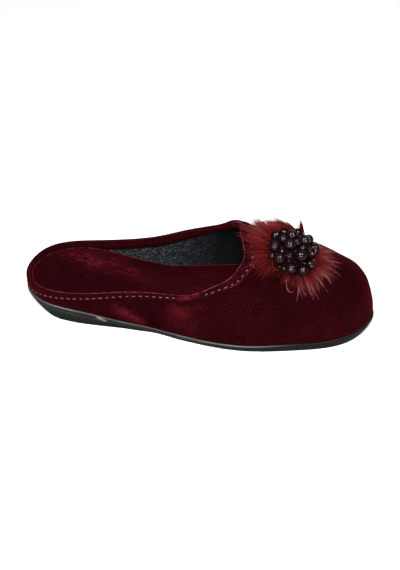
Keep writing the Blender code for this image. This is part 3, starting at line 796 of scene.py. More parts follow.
def sole_side(shares, drop):
    """A loop of the side wall, drop being the share of the way from the lip down to the floor."""
    along = stations(shares)[:, 0]
    heel = 1.0 - smooth_step(0.0, HEEL_UNDERCUT_TO, along)
    toe = smooth_step(TOE_UNDERCUT_FROM, LENGTH, along)
    under = SIDE_UNDERCUT + (HEEL_UNDERCUT - SIDE_UNDERCUT) * heel + (TOE_UNDERCUT - SIDE_UNDERCUT) * toe
    cut = sum(math.exp(-((drop - groove) / GROOVE_HALF) ** 2) for groove in GROOVES)
    cut *= GROOVE_DEPTH * (1.0 - smooth_step(GROOVE_END / 2.0, GROOVE_END, along))
    edge = outline(shares, -under * drop ** UNDERCUT_CURVE - cut)
    top = wedge_height(SOLE_TOP, along) - LIP_DROP
    return np.column_stack((edge, top + (floor_height(edge[:, 0]) - top) * drop))


shares = np.linspace(0.0, 1.0, OUTSOLE_COLUMNS + 1)
rows = []
foot = sole_side(shares, 1.0)[:, :2]
rim = foot + (foot[::-1] - foot) * TREAD_RIM
for share in TREAD_ACROSS:
    inner = toward_spine(rim, share)
    ribs = np.clip(RIB_LEVEL - RIB_SWING * np.cos(math.tau * inner[:, 0] / TREAD_PITCH), 0.0, 1.0)
    flat = 1.0 - smooth_step(*SMOOTH_FROM, inner[:, 0]) * (1.0 - smooth_step(*SMOOTH_TO, inner[:, 0]))
    lift = TREAD_DEPTH * ribs * flat if share > TREAD_EDGE else 0.0
    rows.append(np.column_stack((inner, floor_height(inner[:, 0]) + lift)))
rows.append(np.column_stack((rim, floor_height(rim[:, 0]))))
rows += [sole_side(shares, drop) for drop in SIDE_DROPS]
along = stations(shares)[:, 0]
for outset, drop in LIP_SECTION:
    rows.append(np.column_stack((outline(shares, outset), wedge_height(SOLE_TOP, along) - drop)))
rows.append(np.column_stack((toward_spine(rows[-1][:, :2], 1.0), rows[-1][:, 2])))
outsole_points = np.stack(rows, axis=1)
outsole_nap = strokes(outsole_points, SOLE_SCUFFS)
outsole_shape = new_skin(outsole_points, outsole_nap)
layers = outsole_shape.verts.layers.float
lip_layer, low_layer, lip_highlight_layer = (layers.new(name) for name in ("lip", "low", "lip_highlight"))
for vertex in outsole_shape.verts:
    along_here = vertex.co.x / MM + MIDDLE_ALONG
    top = float(wedge_height(SOLE_TOP, along_here))
    vertex[lip_layer] = top - vertex.co.z / MM
    vertex[low_layer] = vertex[lip_layer] / top
    # the strength of the lip's painted highlight at this place along the sole
    vertex[lip_highlight_layer] = np.interp(along_here, *LIP_HIGHLIGHTS.T)
outsole = new_piece("outsole_rubber", outsole_shape, "sole_rubber", "outsole")

# %% [markdown]
# ## The ornament's own frame
#
# The puff and its beads are sewn to the vamp, which slopes, so they are easier to place in a small frame of
# their own: ahead toward the toe, across toward the inner side, and out from the velvet. A ray dropped on the
# upper's mesh finds the velvet under any place.

# %% Find the vamp
ORNAMENT_ALONG, ORNAMENT_SIDE = 191.0, -3.2
ORNAMENT_SPREAD = 12.0
PAD_RADIUS = 15.0
PAD_HEIGHT = 10.0
PAD_BALL = (PAD_RADIUS ** 2 + PAD_HEIGHT ** 2) / (2.0 * PAD_HEIGHT)
DROP_FROM = 130.0
RAY_FROM = 60.0
VAMP_RAYS = 8

bpy.context.view_layer.update()
vamp = BVHTree.FromObject(upper, bpy.context.evaluated_depsgraph_get())
straight_down = Vector((0.0, 0.0, -1.0))
above = np.array((ORNAMENT_ALONG, ORNAMENT_SIDE, DROP_FROM))
ornament_origin = vamp.ray_cast(Vector(placed(above)), straight_down)[0]
ornament_out = Vector()
for ray in range(VAMP_RAYS):
    turn = math.tau * ray / VAMP_RAYS
    spread = ORNAMENT_SPREAD * np.array((math.cos(turn), math.sin(turn), 0.0))
    ornament_out += vamp.ray_cast(Vector(placed(above + spread)), straight_down)[1]
ornament_out.normalize()
ornament_across = ornament_out.cross(Vector((1.0, 0.0, 0.0))).normalized()
ornament_ahead = ornament_across.cross(ornament_out)


def on_vamp(ahead, across, above):
    """A point above the velvet, under a place of the ornament."""
    way = ornament_ahead * ahead + ornament_across * across + ornament_out * RAY_FROM
    start = ornament_origin + way * MM
    hit, normal = vamp.ray_cast(start, -ornament_out)[:2]
    return hit + normal * (above * MM)


def pad_rise(radius):
    """The height of the pad's round top above the velvet, by the distance from its middle."""
    return np.maximum(np.sqrt(np.maximum(PAD_BALL ** 2 - radius ** 2, 0.0)) + PAD_HEIGHT - PAD_BALL, 0.0)


print("ornament stands out along", tuple(round(value, 2) for value in ornament_out))

# %% [markdown]
# ## The fur
#
# The puff is a disc of dyed fur, its hair brushed out flat from under the beads. Blender's hair system would
# do, but the export wants plain meshes, so each hair is a thin three-sided tube that tapers to a point. The
# hairs start on the pad, drop to the velvet and run outward, gathered into locks, and a value along each hair
# later fades its colour from the dark root to the pale tip.

# %% Pad under the hair
PAD_STEPS = 48
PAD_ROWS = ((0.0, 0), (8.0, 0), (16.0, 0), (20.0, 0), (20.5, 1), (19.0, 1), (16.0, 1), (13.0, 2), (10.0, 2),
            (7.0, 2), (4.0, 2), (0.0, 2))
PAD_CLEAR = 0.2
SKIRT_THICK = 1.4


def new_pad():
    """A disc on the velvet with a thin skirt and a round top."""
    shape = bmesh.new()
    bmesh.ops.create_grid(shape, x_segments=PAD_STEPS, y_segments=len(PAD_ROWS) - 1, size=0.5)
    for vertex in shape.verts:
        angle = math.tau * (vertex.co.x + 0.5)
        radius, kind = PAD_ROWS[round((vertex.co.y + 0.5) * (len(PAD_ROWS) - 1))]
        above = (PAD_CLEAR, SKIRT_THICK, max(pad_rise(radius), SKIRT_THICK))[kind]
        vertex.co = on_vamp(radius * math.cos(angle), radius * math.sin(angle), above)
    bmesh.ops.remove_doubles(shape, verts=shape.verts, dist=SEAM_GAP)
    bmesh.ops.recalc_face_normals(shape, faces=shape.faces)
    return shape


fur_pad = new_piece("fur_pad", new_pad(), "fur", "fur_puff")

# %% Map the velvet under the hair
RING_TURNS = 120
RINGS = 50
STEEPEST = 2.5


def ornament_places(ahead, across, out):
    """Coordinates of places given in the ornament's frame."""
    axes = np.array((ornament_ahead, ornament_across, ornament_out))
    return np.array(ornament_origin) + np.stack((ahead, across, out), axis=-1) @ axes * MM


def vamp_rings():
    """Heights of the velvet there, a row of rings for each angle, run on straight past the topline."""
    heights = np.zeros((RING_TURNS + 1, RINGS))
    for turn in range(RING_TURNS + 1):
        angle = math.tau * turn / RING_TURNS
        for ring in range(RINGS):
            start = ornament_places(ring * math.cos(angle), ring * math.sin(angle), DROP_FROM)
            far = vamp.ray_cast(Vector(start), -ornament_out)[3]
            straight = 2.0 * heights[turn, ring - 1] - heights[turn, ring - 2] if ring > 1 else 0.0
            height = straight if far is None else DROP_FROM - far / MM
            heights[turn, ring] = height if height > straight - STEEPEST else straight
    return heights


vamp_heights = vamp_rings()


def vamp_height(angle, radius):
    """The velvet's height in the ornament's frame at any angle and distance."""
    turn = angle % 360.0 / 360.0 * RING_TURNS
    ring = np.clip(radius, 0.0, RINGS - 1.001)
    low_turn, low_ring = turn.astype(int) % RING_TURNS, ring.astype(int)
    side, out = turn - turn.astype(int), ring - low_ring
    low = vamp_heights[low_turn, low_ring] * (1.0 - out) + vamp_heights[low_turn, low_ring + 1] * out
    high = vamp_heights[low_turn + 1, low_ring] * (1.0 - out) + vamp_heights[low_turn + 1, low_ring + 1] * out
    return low * (1.0 - side) + high * side


print("velvet under the fur lies", round(vamp_heights.min(), 1), "to", round(vamp_heights.max(), 1), "mm")

# %% Brush the hair out
FUR_REACH = np.array((
    # angle from the toe's direction, reach, lift of the tips, pinkness, contrast of the strands, shade
    # (painted shade where below 0), paleness at the root (where it is low, the dark root is painted shade)
    (0, 36.5, 1.2, 0.55, 1.00, -0.01, 0.14),
    (16, 38.0, 1.2, 0.55, 0.90, 0.02, 0.16),
    (30, 38.0, 2.0, 0.60, 0.60, 0.09, 0.24),
    (45, 34.0, 1.6, 0.55, 0.50, 0.08, 0.24),
    (70, 26.0, 2.0, 0.20, 0.50, 0.00, 0.20),
    (95, 28.0, 2.5, 0.10, 0.40, 0.00, 0.24),
    (115, 34.0, 4.0, 0.25, 0.40, 0.00, 0.30),
    (133, 40.0, 3.5, 0.50, 0.50, -0.02, 0.26),
    (145, 43.5, 2.4, 0.55, 0.50, -0.02, 0.24),
    (158, 47.0, 1.6, 0.40, 0.50, -0.08, 0.26),
    (168, 40.0, 1.4, 0.20, 0.50, -0.12, 0.30),
    (180, 37.0, 1.2, 0.12, 0.50, -0.14, 0.34),
    (197, 35.0, 1.0, 0.08, 0.50, -0.15, 0.34),
    (215, 33.0, 0.8, 0.08, 0.40, -0.14, 0.36),
    (228, 30.0, 0.6, 0.08, 0.40, -0.18, 0.26),
    (240, 24.0, 0.6, 0.08, 0.35, -0.22, 0.16),
    (252, 20.5, 0.6, 0.12, 0.45, -0.22, 0.04),
    (264, 21.5, 0.6, 0.30, 0.75, -0.14, 0.00),
    (274, 25.0, 0.8, 0.45, 1.00, -0.13, 0.00),
    (286, 29.5, 0.9, 0.75, 1.00, -0.13, 0.00),
    (306, 34.0, 1.0, 0.80, 1.00, -0.06, 0.00),
    (318, 36.0, 1.2, 0.80, 1.00, -0.06, 0.02),
    (336, 33.5, 1.2, 0.75, 1.00, -0.03, 0.08),
    (348, 35.5, 1.3, 0.70, 1.00, -0.02, 0.12),
    (360, 36.5, 1.2, 0.55, 1.00, -0.01, 0.14),
))
LOCK_COUNT = 84
HAIRS = {
    # name: count, points, first root, last root, thickness, shortest, longest, loft, lightness, bundling
    "under_hair": (4400, 6, 12.5, 20.0, 0.16, 0.60, 0.90, 0.5, 0.24, 0.15),
    "guard_hair": (3600, 7, 13.0, 19.5, 0.10, 0.66, 1.04, 0.9, 0.31, 0.55),
    "pale_hair": (900, 8, 14.0, 19.5, 0.085, 0.70, 1.09, 1.3, 0.66, 0.80),
    "strand_hair": (600, 8, 14.0, 19.5, 0.10, 0.66, 1.10, 1.5, 0.78, 0.90),
}
brush = np.random.default_rng(11)
lock_middles = (np.arange(LOCK_COUNT) + brush.uniform(-0.3, 0.3, LOCK_COUNT)) * 360.0 / LOCK_COUNT
lock_reaches = brush.uniform(0.88, 1.02, LOCK_COUNT)
lock_tones = brush.uniform(-0.2, 0.2, LOCK_COUNT)
STRAND_COUNT = 250
PALE_SHARE = 0.32
DENSE_SHARE = 0.34
DENSE_ANGLES = (118.0, 240.0)
GATHER, CLUMP, CALM = 0.10, 0.90, 0.7
LEAST_HAIR = 2.0
HAIR_UNEVEN, LOCK_TONE = 0.10, 0.6
HAIR_TAPER, HAIR_TAPER_CURVE = 0.93, 1.5
TUBE_TURNS = (math.pi / 2.0, math.pi * 7.0 / 6.0, math.pi * 11.0 / 6.0)
COMBED_TO, COMB_REACH, COMB_SHARE = 316.0, 45.0, 0.20
strand_tones = np.where(brush.random(STRAND_COUNT) < PALE_SHARE, brush.uniform(0.25, 0.55, STRAND_COUNT),
                        brush.uniform(-0.22, 0.0, STRAND_COUNT))
strand_turns = brush.normal(0.0, 3.0, STRAND_COUNT)
strand_reaches = brush.uniform(0.82, 1.05, STRAND_COUNT)
strand_waves = brush.normal(0.0, 0.45, STRAND_COUNT)


def half_turn(angle):
    """An angle in degrees, brought to between -180 and 180."""
    return (angle + 180.0) % 360.0 - 180.0


def hair_lines(count, points, first, last, shortest, longest, loft, lightness, bundling):
    """Middle lines of the hairs in metres, and each one's lightness, pinkness and paleness at its root."""
    angle = brush.uniform(0.0, 360.0, count)
    dense = brush.random(count) < DENSE_SHARE
    angle[dense] = brush.uniform(*DENSE_ANGLES, dense.sum())
    root = brush.uniform(first, last, count)
    strand = (angle / 360.0 * STRAND_COUNT).astype(int)
    middle = (strand + 0.5) * 360.0 / STRAND_COUNT
    lock = np.argmin(np.abs(half_turn(middle[:, None] - lock_middles)), axis=1)
    angles, *columns = FUR_REACH.T
    reach, lift, pink, contrast, shade, pale = (np.interp(angle, angles, column) for column in columns)
    contrast *= bundling
    gather = GATHER * contrast
    reach *= lock_reaches[lock] * strand_reaches[strand] * brush.uniform(shortest, longest, count)
    drift = half_turn(lock_middles[lock] - middle) * gather + strand_turns[strand] * (1.0 - gather)
    drift += (middle - angle) * CLUMP * contrast
    drift += brush.normal(0.0, 1.0, count) * (1.0 - CALM * contrast)
    combing = half_turn(COMBED_TO - angle)
    drift += COMB_SHARE * combing * np.exp(-(combing / COMB_REACH) ** 2)
    layer = brush.uniform(0.3, 1.5, count)[:, None]
    wave = (strand_waves[strand] + brush.normal(0.0, 0.3, count))[:, None]
    share = np.linspace(0.0, 1.0, points)[None]
    radius = root[:, None] + np.maximum(reach - root, LEAST_HAIR)[:, None] * share
    turn = angle[:, None] + drift[:, None] * share ** 1.3
    turn = turn + np.degrees(wave / radius * np.sin(math.pi * share))
    above = (pad_rise(root)[:, None] * (1.0 - share) ** 2 + layer * (1.0 + loft * np.sin(math.pi * share))
             + (lift * brush.uniform(0.1, 1.1, count))[:, None] * share ** 2)
    height = vamp_height(turn, radius) + above
    turn = np.radians(turn)
    lines = ornament_places(radius * np.cos(turn), radius * np.sin(turn), height)
    tone = lightness + HAIR_UNEVEN * brush.normal(size=count)
    # painted shade: the shade column darkens the hairs where it is below 0
    tone = tone + (LOCK_TONE * lock_tones[lock] + strand_tones[strand]) * contrast + shade
    pink = pink * np.clip(1.8 * tone - 0.2, 0.0, 1.0) + 0.1 * brush.normal(size=count)
    return lines, np.clip(tone, 0.0, 1.0), np.clip(pink, 0.0, 1.0), pale


def new_hair(name, lines, tone, pink, pale, thickness):
    """One mesh of three-sided tubes along the lines, each closed to a point at its tip and its root."""
    count, points = lines.shape[:2]
    along = np.gradient(lines, axis=1)
    along /= np.linalg.norm(along, axis=2, keepdims=True)
    side = np.cross(along, np.array(ornament_out))
    side /= np.linalg.norm(side, axis=2, keepdims=True)
    up = np.cross(side, along)
    share = np.linspace(0.0, 1.0, points)
    radius = thickness * MM * (1.0 - HAIR_TAPER * share ** HAIR_TAPER_CURVE)
    rings = [lines + radius[None, :, None] * (math.cos(turn) * side + math.sin(turn) * up)
             for turn in TUBE_TURNS]
    vertices = np.stack(rings, axis=2).reshape(-1, 3)
    first = (np.arange(count * points).reshape(count, points) * 3)[:, :-1].reshape(-1, 1)
    walls = np.concatenate([first + (corner, (corner + 1) % 3, (corner + 1) % 3 + 3, corner + 3)
                            for corner in range(3)])
    roots = np.arange(count)[:, None] * points * 3
    faces = walls.tolist() + (roots + (2, 1, 0)).tolist() + (roots + points * 3 - 3 + (0, 1, 2)).tolist()
    shape = bmesh.new()
    mesh = bpy.data.meshes.new(name)
    mesh.from_pydata(vertices.tolist(), [], faces)
    tip = pale[:, None] + (1.0 - pale[:, None]) * share
    for label, values in (("tip", np.repeat(tip.ravel(), 3)), ("tone", np.repeat(tone, points * 3)),
                          ("pink", np.repeat(pink, points * 3))):
        mesh.attributes.new(label, "FLOAT", "POINT").data.foreach_set("value", values.astype(np.float32))
    shape.from_mesh(mesh)
    bpy.data.meshes.remove(mesh)
    return new_piece(name, shape, "fur")


hair_pieces = []
for name, (count, points, first, last, thickness, *shape) in HAIRS.items():
    hair_pieces.append(new_hair(name, *hair_lines(count, points, first, last, *shape), thickness))

# %% Tufts and stray hairs
STRAY_POINTS = 10
STRAY_EASE = 0.75
TUFT_BOW = 1.5
TUFT_ROOT, TUFT_THICK = 0.25, 0.17
STRAY_ROOT, STRAY_THICK = 0.8, 0.12
TUFTS = (
    # root, tip (ahead, across, out), spread at the root, spread at the tip, hairs, lightness, pinkness
    ((3.5, 15.0, 5.5), (-0.5, 20.0, 16.5), 1.5, 0.25, 90, 0.14, 0.0),
    ((-17.3, 13.2, 3.5), (-31.0, 21.3, 0.8), 2.2, 1.7, 220, 0.42, 0.5),
    ((-9.2, 16.2, 4.5), (-24.0, 23.6, 0.8), 2.2, 1.4, 230, 0.44, 0.5),
    ((-5.0, 17.0, 4.5), (-17.4, 26.2, 1.5), 2.2, 1.5, 230, 0.30, 0.1),
    ((-1.0, 17.0, 4.5), (-11.0, 26.6, 1.0), 2.0, 1.4, 170, 0.20, 0.2),
    ((2.0, 16.0, 4.0), (-4.6, 22.0, 2.0), 2.0, 1.2, 80, 0.14, 0.3),
)
STRAYS = (
    # places on the velvet: ahead, across, height above it
    ((0.1, -18.5, 2.0), (0.6, -21.0, 1.4), (1.8, -23.6, 0.9), (4.0, -25.4, 0.7), (6.2, -25.6, 0.9),
     (7.0, -23.6, 1.2)),
    ((-12.4, -10.4, 3.2), (-11.4, -12.4, 2.6), (-9.6, -14.6, 2.0), (-7.6, -15.2, 2.2), (-6.8, -14.2, 2.6)),
    ((-22.0, -10.0, 1.2), (-24.0, -12.5, 0.8), (-23.6, -15.0, 0.6), (-22.2, -16.4, 0.6)),
    ((-20.0, -6.0, 1.4), (-25.0, -8.5, 1.0), (-29.0, -12.0, 0.8)),
    ((8.0, -19.0, 1.6), (10.0, -25.0, 1.0), (10.5, -30.5, 0.7)),
)


def tuft_lines():
    """Hairs that stand up in a tuft, from a spread root to a gathered tip."""
    lines, tones, pinks = [], [], []
    share = np.linspace(0.0, 1.0, STRAY_POINTS)[:, None]
    for root, tip, root_spread, tip_spread, count, tone, pink in TUFTS:
        for _ in range(count):
            start = np.array(root) + brush.normal(0.0, root_spread, 3) * (1.0, 0.6, 0.4)
            end = np.array(tip) + brush.normal(0.0, tip_spread, 3)
            end = start + (end - start) * brush.uniform(0.4, 1.05)
            bow = np.array((0.0, 0.0, TUFT_BOW)) * np.sin(math.pi * share)
            line = start + (end - start) * share + bow
            lines.append(ornament_places(*line.T))
            tones.append(tone + 0.15 * brush.normal())
            pinks.append(pink)
    return lines, tones, pinks


def stray_lines():
    """Single pale hairs that lie on the velvet, through the places of the table."""
    lines = []
    for places in STRAYS:
        ahead, across, above = np.array(places).T
        knots = np.linspace(0.0, 1.0, len(places))
        share = np.linspace(0.0, 1.0, STRAY_POINTS)
        weights = np.exp(-((share[:, None] - knots) * (len(places) - 1) / STRAY_EASE) ** 2)
        weights /= weights.sum(axis=1, keepdims=True)
        ahead, across, above = weights @ ahead, weights @ across, weights @ above
        angle = np.degrees(np.arctan2(across, ahead))
        lines.append(ornament_places(ahead, across, above + vamp_height(angle, np.hypot(ahead, across))))
    return lines


lines, tones, pinks = tuft_lines()
hair_pieces.append(new_hair("tuft_hair", np.array(lines), np.clip(tones, 0.0, 1.0), np.array(pinks),
                            np.full(len(lines), TUFT_ROOT), TUFT_THICK))
lines = stray_lines()
ones = np.ones(len(lines))
hair_pieces.append(new_hair("stray_hair", np.array(lines), ones, ones, STRAY_ROOT * ones, STRAY_THICK))

# %% [markdown]
# ## The beads
#
# Each bead is a glass ball with a hole for its thread, and a few in the bunch are cut with facets. A plain
# sphere would have no hole, so a round profile with its bore is spun about the thread's line. The cut beads
# start from a ball of few sides whose edges are bevelled, so that every facet can catch a light.

# %% Spin the beads
BEAD_STEPS = 24
BEAD_ARC = 12
BORE_SHARE = 0.16
FACETED = ("bead_large_01", "bead_large_07", "bead_large_12")
FACET_BEVEL = 0.05
BEAD_POLISH = 1.03
threading = np.random.default_rng(5)


def round_bead():
    """A ball of radius 1 with a bore along its Z axis."""
    shape = bmesh.new()
    start = math.asin(BORE_SHARE)
    turns = [start + (math.pi - 2.0 * start) * step / BEAD_ARC for step in range(BEAD_ARC + 1)]
    profile = [shape.verts.new((math.sin(turn), 0.0, math.cos(turn))) for turn in turns]
    profile.append(shape.verts.new((BORE_SHARE, 0.0, 0.0)))
    edges = [shape.edges.new((profile[step - 1], profile[step])) for step in range(len(profile))]
    middle = (0.0, 0.0, 0.0)
    bmesh.ops.spin(shape, geom=profile + edges, cent=middle, axis=(0.0, 0.0, 1.0), dvec=middle,
                   angle=math.tau, steps=BEAD_STEPS, use_merge=True)
    bmesh.ops.remove_doubles(shape, verts=shape.verts, dist=1e-5)
    bmesh.ops.recalc_face_normals(shape, faces=shape.faces)
    return shape


def faceted_bead():
    """A ball of radius 1 with flat facets and narrow bevels between them."""
    shape = bmesh.new()
    bmesh.ops.create_uvsphere(shape, u_segments=8, v_segments=6, radius=1.0)
    bmesh.ops.bevel(shape, geom=shape.edges[:], offset=FACET_BEVEL, offset_type="OFFSET", segments=2,
                    profile=0.5, affect="EDGES", material=-1)
    return shape


bead_pieces = []
for node in sorted(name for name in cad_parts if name.startswith("bead_")):
    low, high = (Vector(corner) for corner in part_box(node))
    shape = faceted_bead() if node in FACETED else round_bead()
    radius = max(high - low) / 2.0 * BEAD_POLISH
    tilt = Matrix.Rotation(threading.uniform(0.0, math.tau), 4, ornament_out)
    tilt = tilt @ Matrix.Rotation(threading.uniform(0.9, 1.5), 4, ornament_ahead)
    bmesh.ops.transform(shape, matrix=Matrix.Translation((low + high) / 2.0) @ tilt @ Matrix.Scale(radius, 4),
                        verts=shape.verts)
    bead_pieces.append(new_piece(f"{node}_glass", shape, "bead_glass", node))

# %% Small beads between them
FILLERS = 80
FILLER_TRIES = 12000
FILLER_RADII = (1.1, 2.3)
FILLER_SPREAD = 15.5
FILLER_SINK = (-2.0, 0.3)


def filler_places():
    """Middles and radii of small beads that fit between the others, low on the pad."""
    corners = [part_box(node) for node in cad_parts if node.startswith("bead_")]
    middles = [(Vector(low) + Vector(high)) / 2.0 for low, high in corners]
    radii = [(high[2] - low[2]) / 2.0 for low, high in corners]
    first = len(middles)
    for _ in range(FILLER_TRIES):
        radius = threading.uniform(*FILLER_RADII)
        distance = FILLER_SPREAD * math.sqrt(threading.random())
        angle = threading.uniform(0.0, math.tau)
        ball = PAD_BALL + radius + threading.uniform(*FILLER_SINK)
        out = PAD_HEIGHT - PAD_BALL + math.sqrt(ball ** 2 - distance ** 2)
        middle = Vector(ornament_places(distance * math.cos(angle), distance * math.sin(angle), out))
        if all((middle - other).length > (radius * MM + size) for other, size in zip(middles, radii)):
            middles.append(middle)
            radii.append(radius * MM)
        if len(middles) == first + FILLERS:
            break
    return list(zip(middles[first:], radii[first:]))


fillers = bmesh.new()
for middle, radius in filler_places():
    matrix = Matrix.Translation(middle)
    bmesh.ops.create_uvsphere(fillers, u_segments=8, v_segments=6, radius=radius, matrix=matrix)
bead_pieces.append(new_piece("bead_fillers", fillers, "bead_glass"))

# %% [markdown]
# ## Node helpers
#
# A material is a small network of nodes. Adding and linking each node by hand takes many lines, so one helper
# adds a node, sets its options and fills its inputs, where an input may be a plain value or the output of
# another node. Short helpers on top of it give the few kinds of node that every material here is made of, and
# two more start a material and a node group with named sockets.


# %% Helpers for materials
def put(tree, kind, inputs=None, **options):
    """Add a node, set its options, then fill each input with a value or link an output to it."""
    node = tree.nodes.new("ShaderNode" + kind)
    for name, option in options.items():
        setattr(node, name, option)
    for name, value in (inputs or {}).items():
        socket = node.inputs[name]
        if isinstance(value, bpy.types.NodeSocket):
            tree.links.new(value, socket)
        else:
            socket.default_value = (*value, 1.0) if socket.type == "RGBA" else value
    return node


def object_place(tree):
    """The place of each point in the piece's own coordinates."""
    return put(tree, "TexCoord").outputs["Object"]


def stored(tree, name):
    """A value that was stored on the mesh."""
    return put(tree, "Attribute", attribute_name=name).outputs["Fac"]


def noise(tree, vector, scale, detail, roughness=0.5):
    """Noise of one size."""
    inputs = {"Vector": vector, "Scale": scale, "Detail": detail, "Roughness": roughness}
    return put(tree, "TexNoise", inputs).outputs["Fac"]


def calculate(tree, operation, *values, clamp=False):
    """A sum, difference or product of values and sockets."""
    return put(tree, "Math", dict(enumerate(values)), operation=operation, use_clamp=clamp).outputs[0]


def ranged(tree, value, low=0.0, high=1.0, to_low=0.0, to_high=1.0):
    """A value moved from one range to another and kept inside it."""
    inputs = {"Value": value, "From Min": low, "From Max": high, "To Min": to_low, "To Max": to_high}
    return put(tree, "MapRange", inputs).outputs[0]


def blend(tree, factor, first, second):
    """Two colours mixed by a factor."""
    return put(tree, "Mix", {"Factor": factor, "A": first, "B": second}, data_type="RGBA").outputs["Result"]


def finish_shader(tree, shader, colour, height=None, strength=0.0, distance=0.0):
    """Give a shader its colour and, where there is a height, its bump."""
    tree.links.new(colour, shader.inputs["Base Color"])
    if height is not None:
        bump = put(tree, "Bump", {"Height": height, "Strength": strength, "Distance": distance})
        tree.links.new(bump.outputs["Normal"], shader.inputs["Normal"])


def new_material(name, **constants):
    """A material with its Principled shader, whose constant sockets are set by name."""
    material = bpy.data.materials.new(name)
    material.use_nodes = True
    shader = material.node_tree.nodes["Principled BSDF"]
    for socket, value in constants.items():
        shader.inputs[socket.replace("_", " ")].default_value = value
    return material, material.node_tree, shader


def new_group(name, inputs, outputs):
    """A shader node group with named sockets; gives its tree, the inputs' outlets and the output node."""
    group = bpy.data.node_groups.new(name, "ShaderNodeTree")
    for label, kind in inputs.items():
        group.interface.new_socket(label, in_out="INPUT", socket_type=kind)
    for label, kind in outputs.items():
        group.interface.new_socket(label, in_out="OUTPUT", socket_type=kind)
    entry = group.nodes.new("NodeGroupInput")
    leave = group.nodes.new("NodeGroupOutput")
    return group, entry.outputs, leave


def fill(tree, leave, **values):
    """Link sockets to a group's outputs."""
    for label, socket in values.items():
        tree.links.new(socket, leave.inputs[label])


VECTOR, VALUE, COLOUR = "NodeSocketVector", "NodeSocketFloat", "NodeSocketColor"
print("node helpers ready")

# %% [markdown]
# ## Velvet
#
# Velvet is dark where its pile points at you and light where it lies over. The pile itself is far too fine to
# model, so a group mixes two colours by three things: the tone marks stored on the mesh, which hold brushed
# strokes together with painted highlights and painted shade, slow patches a few centimetres wide, and a fine
# grain. The strongest marks turn pale, for rubbed pile and painted highlight. The same group dresses upper,
# binding and insole, each with its own colours. Sheen stays on the shader's own sockets.

# %% The velvet group
VELVET_NOISE = {
    # name: scale, detail, roughness
    "slow": (48.0, 3.0, 0.6),
    "brushed": (260.0, 6.0, 0.9),
    "fine": (1500.0, 2.0, 0.7),
    "pile": (2600.0, 1.0),
}
NOISE_MIDDLE = 0.5
MOTTLE_FROM, MOTTLE_TO, MOTTLE_SWING = 0.36, 0.64, 1.2
PALE_FROM, PALE_TO = 1.0, 2.4

velvet_tone, into, leave = new_group(
    "velvet_tone",
    {"Vector": VECTOR, "Tone marks": VALUE, "Level": VALUE, "Patches": VALUE, "Grain": VALUE, "Mottle": VALUE,
     "Deep": COLOUR, "Lit": COLOUR, "Rubbed and highlight": COLOUR},
    {"Colour": COLOUR, "Height": VALUE})
slow, brushed, fine, pile = (noise(velvet_tone, into["Vector"], *row) for row in VELVET_NOISE.values())
slow_part = calculate(velvet_tone, "SUBTRACT", slow, NOISE_MIDDLE)
slow_part = calculate(velvet_tone, "MULTIPLY", slow_part, into["Patches"])
fine_part = calculate(velvet_tone, "SUBTRACT", fine, NOISE_MIDDLE)
fine_part = calculate(velvet_tone, "MULTIPLY", fine_part, into["Grain"])
rough = ranged(velvet_tone, brushed, MOTTLE_FROM, MOTTLE_TO, -MOTTLE_SWING, MOTTLE_SWING)
rough = calculate(velvet_tone, "MULTIPLY_ADD", rough, into["Mottle"], 1.0)
marks = calculate(velvet_tone, "MULTIPLY", into["Tone marks"], rough)
total = calculate(velvet_tone, "ADD", marks, into["Level"])
total = calculate(velvet_tone, "ADD", total, slow_part)
total = calculate(velvet_tone, "ADD", total, fine_part, clamp=True)
tint = blend(velvet_tone, total, into["Deep"], into["Lit"])
# the strongest marks turn to the pale colour: rubbed pile, and painted highlight on the crest and the fold
tint = blend(velvet_tone, ranged(velvet_tone, marks, PALE_FROM, PALE_TO), tint, into["Rubbed and highlight"])
fill(velvet_tone, leave, Colour=tint, Height=calculate(velvet_tone, "ADD", pile, fine))
print("velvet group nodes:", len(velvet_tone.nodes))

# %% Lint that velvet picks up
SPECK_SCALE, SPECK_FROM, SPECK_TO = 1500.0, 0.72, 0.80
LINT_SCALE, LINT_FROM, LINT_TO = 70.0, 0.45, 0.65

lint, into, leave = new_group(
    "lint", {"Vector": VECTOR, "Colour": COLOUR, "Fluff": COLOUR, "Amount": VALUE}, {"Colour": COLOUR})
specks = ranged(lint, noise(lint, into["Vector"], SPECK_SCALE, 0.0), SPECK_FROM, SPECK_TO)
where = ranged(lint, noise(lint, into["Vector"], LINT_SCALE, 1.0), LINT_FROM, LINT_TO)
both = calculate(lint, "MULTIPLY", specks, where)
both = calculate(lint, "MULTIPLY", both, into["Amount"], clamp=True)
fill(lint, leave, Colour=blend(lint, both, into["Colour"], into["Fluff"]))
print("lint group nodes:", len(lint.nodes))

# %% Velvet for upper, binding and insole
VELVETS = {
    # name: level, patches, grain, mottling, deep colour, lit colour
    "upper_velvet": (0.056, 0.20, 1.3, 0.55, (0.0050, 0.00050, 0.00094), (0.066, 0.0045, 0.0076)),
    "binding_velvet": (0.070, 0.16, 1.1, 0.8, (0.0058, 0.00056, 0.00105), (0.080, 0.0070, 0.0115)),
    "insole_velvet": (0.088, 0.20, 1.1, 1.0, (0.0054, 0.00050, 0.00100), (0.066, 0.0046, 0.0084)),
}
FLUFF = (0.30, 0.10, 0.11)
FLUFF_AMOUNT = 0.06
# pale colour for rubbed pile and for painted highlight
RUBBED_AND_HIGHLIGHT = (0.24, 0.075, 0.09)
PILE_STRENGTH, PILE_DISTANCE = 0.35, 0.0004


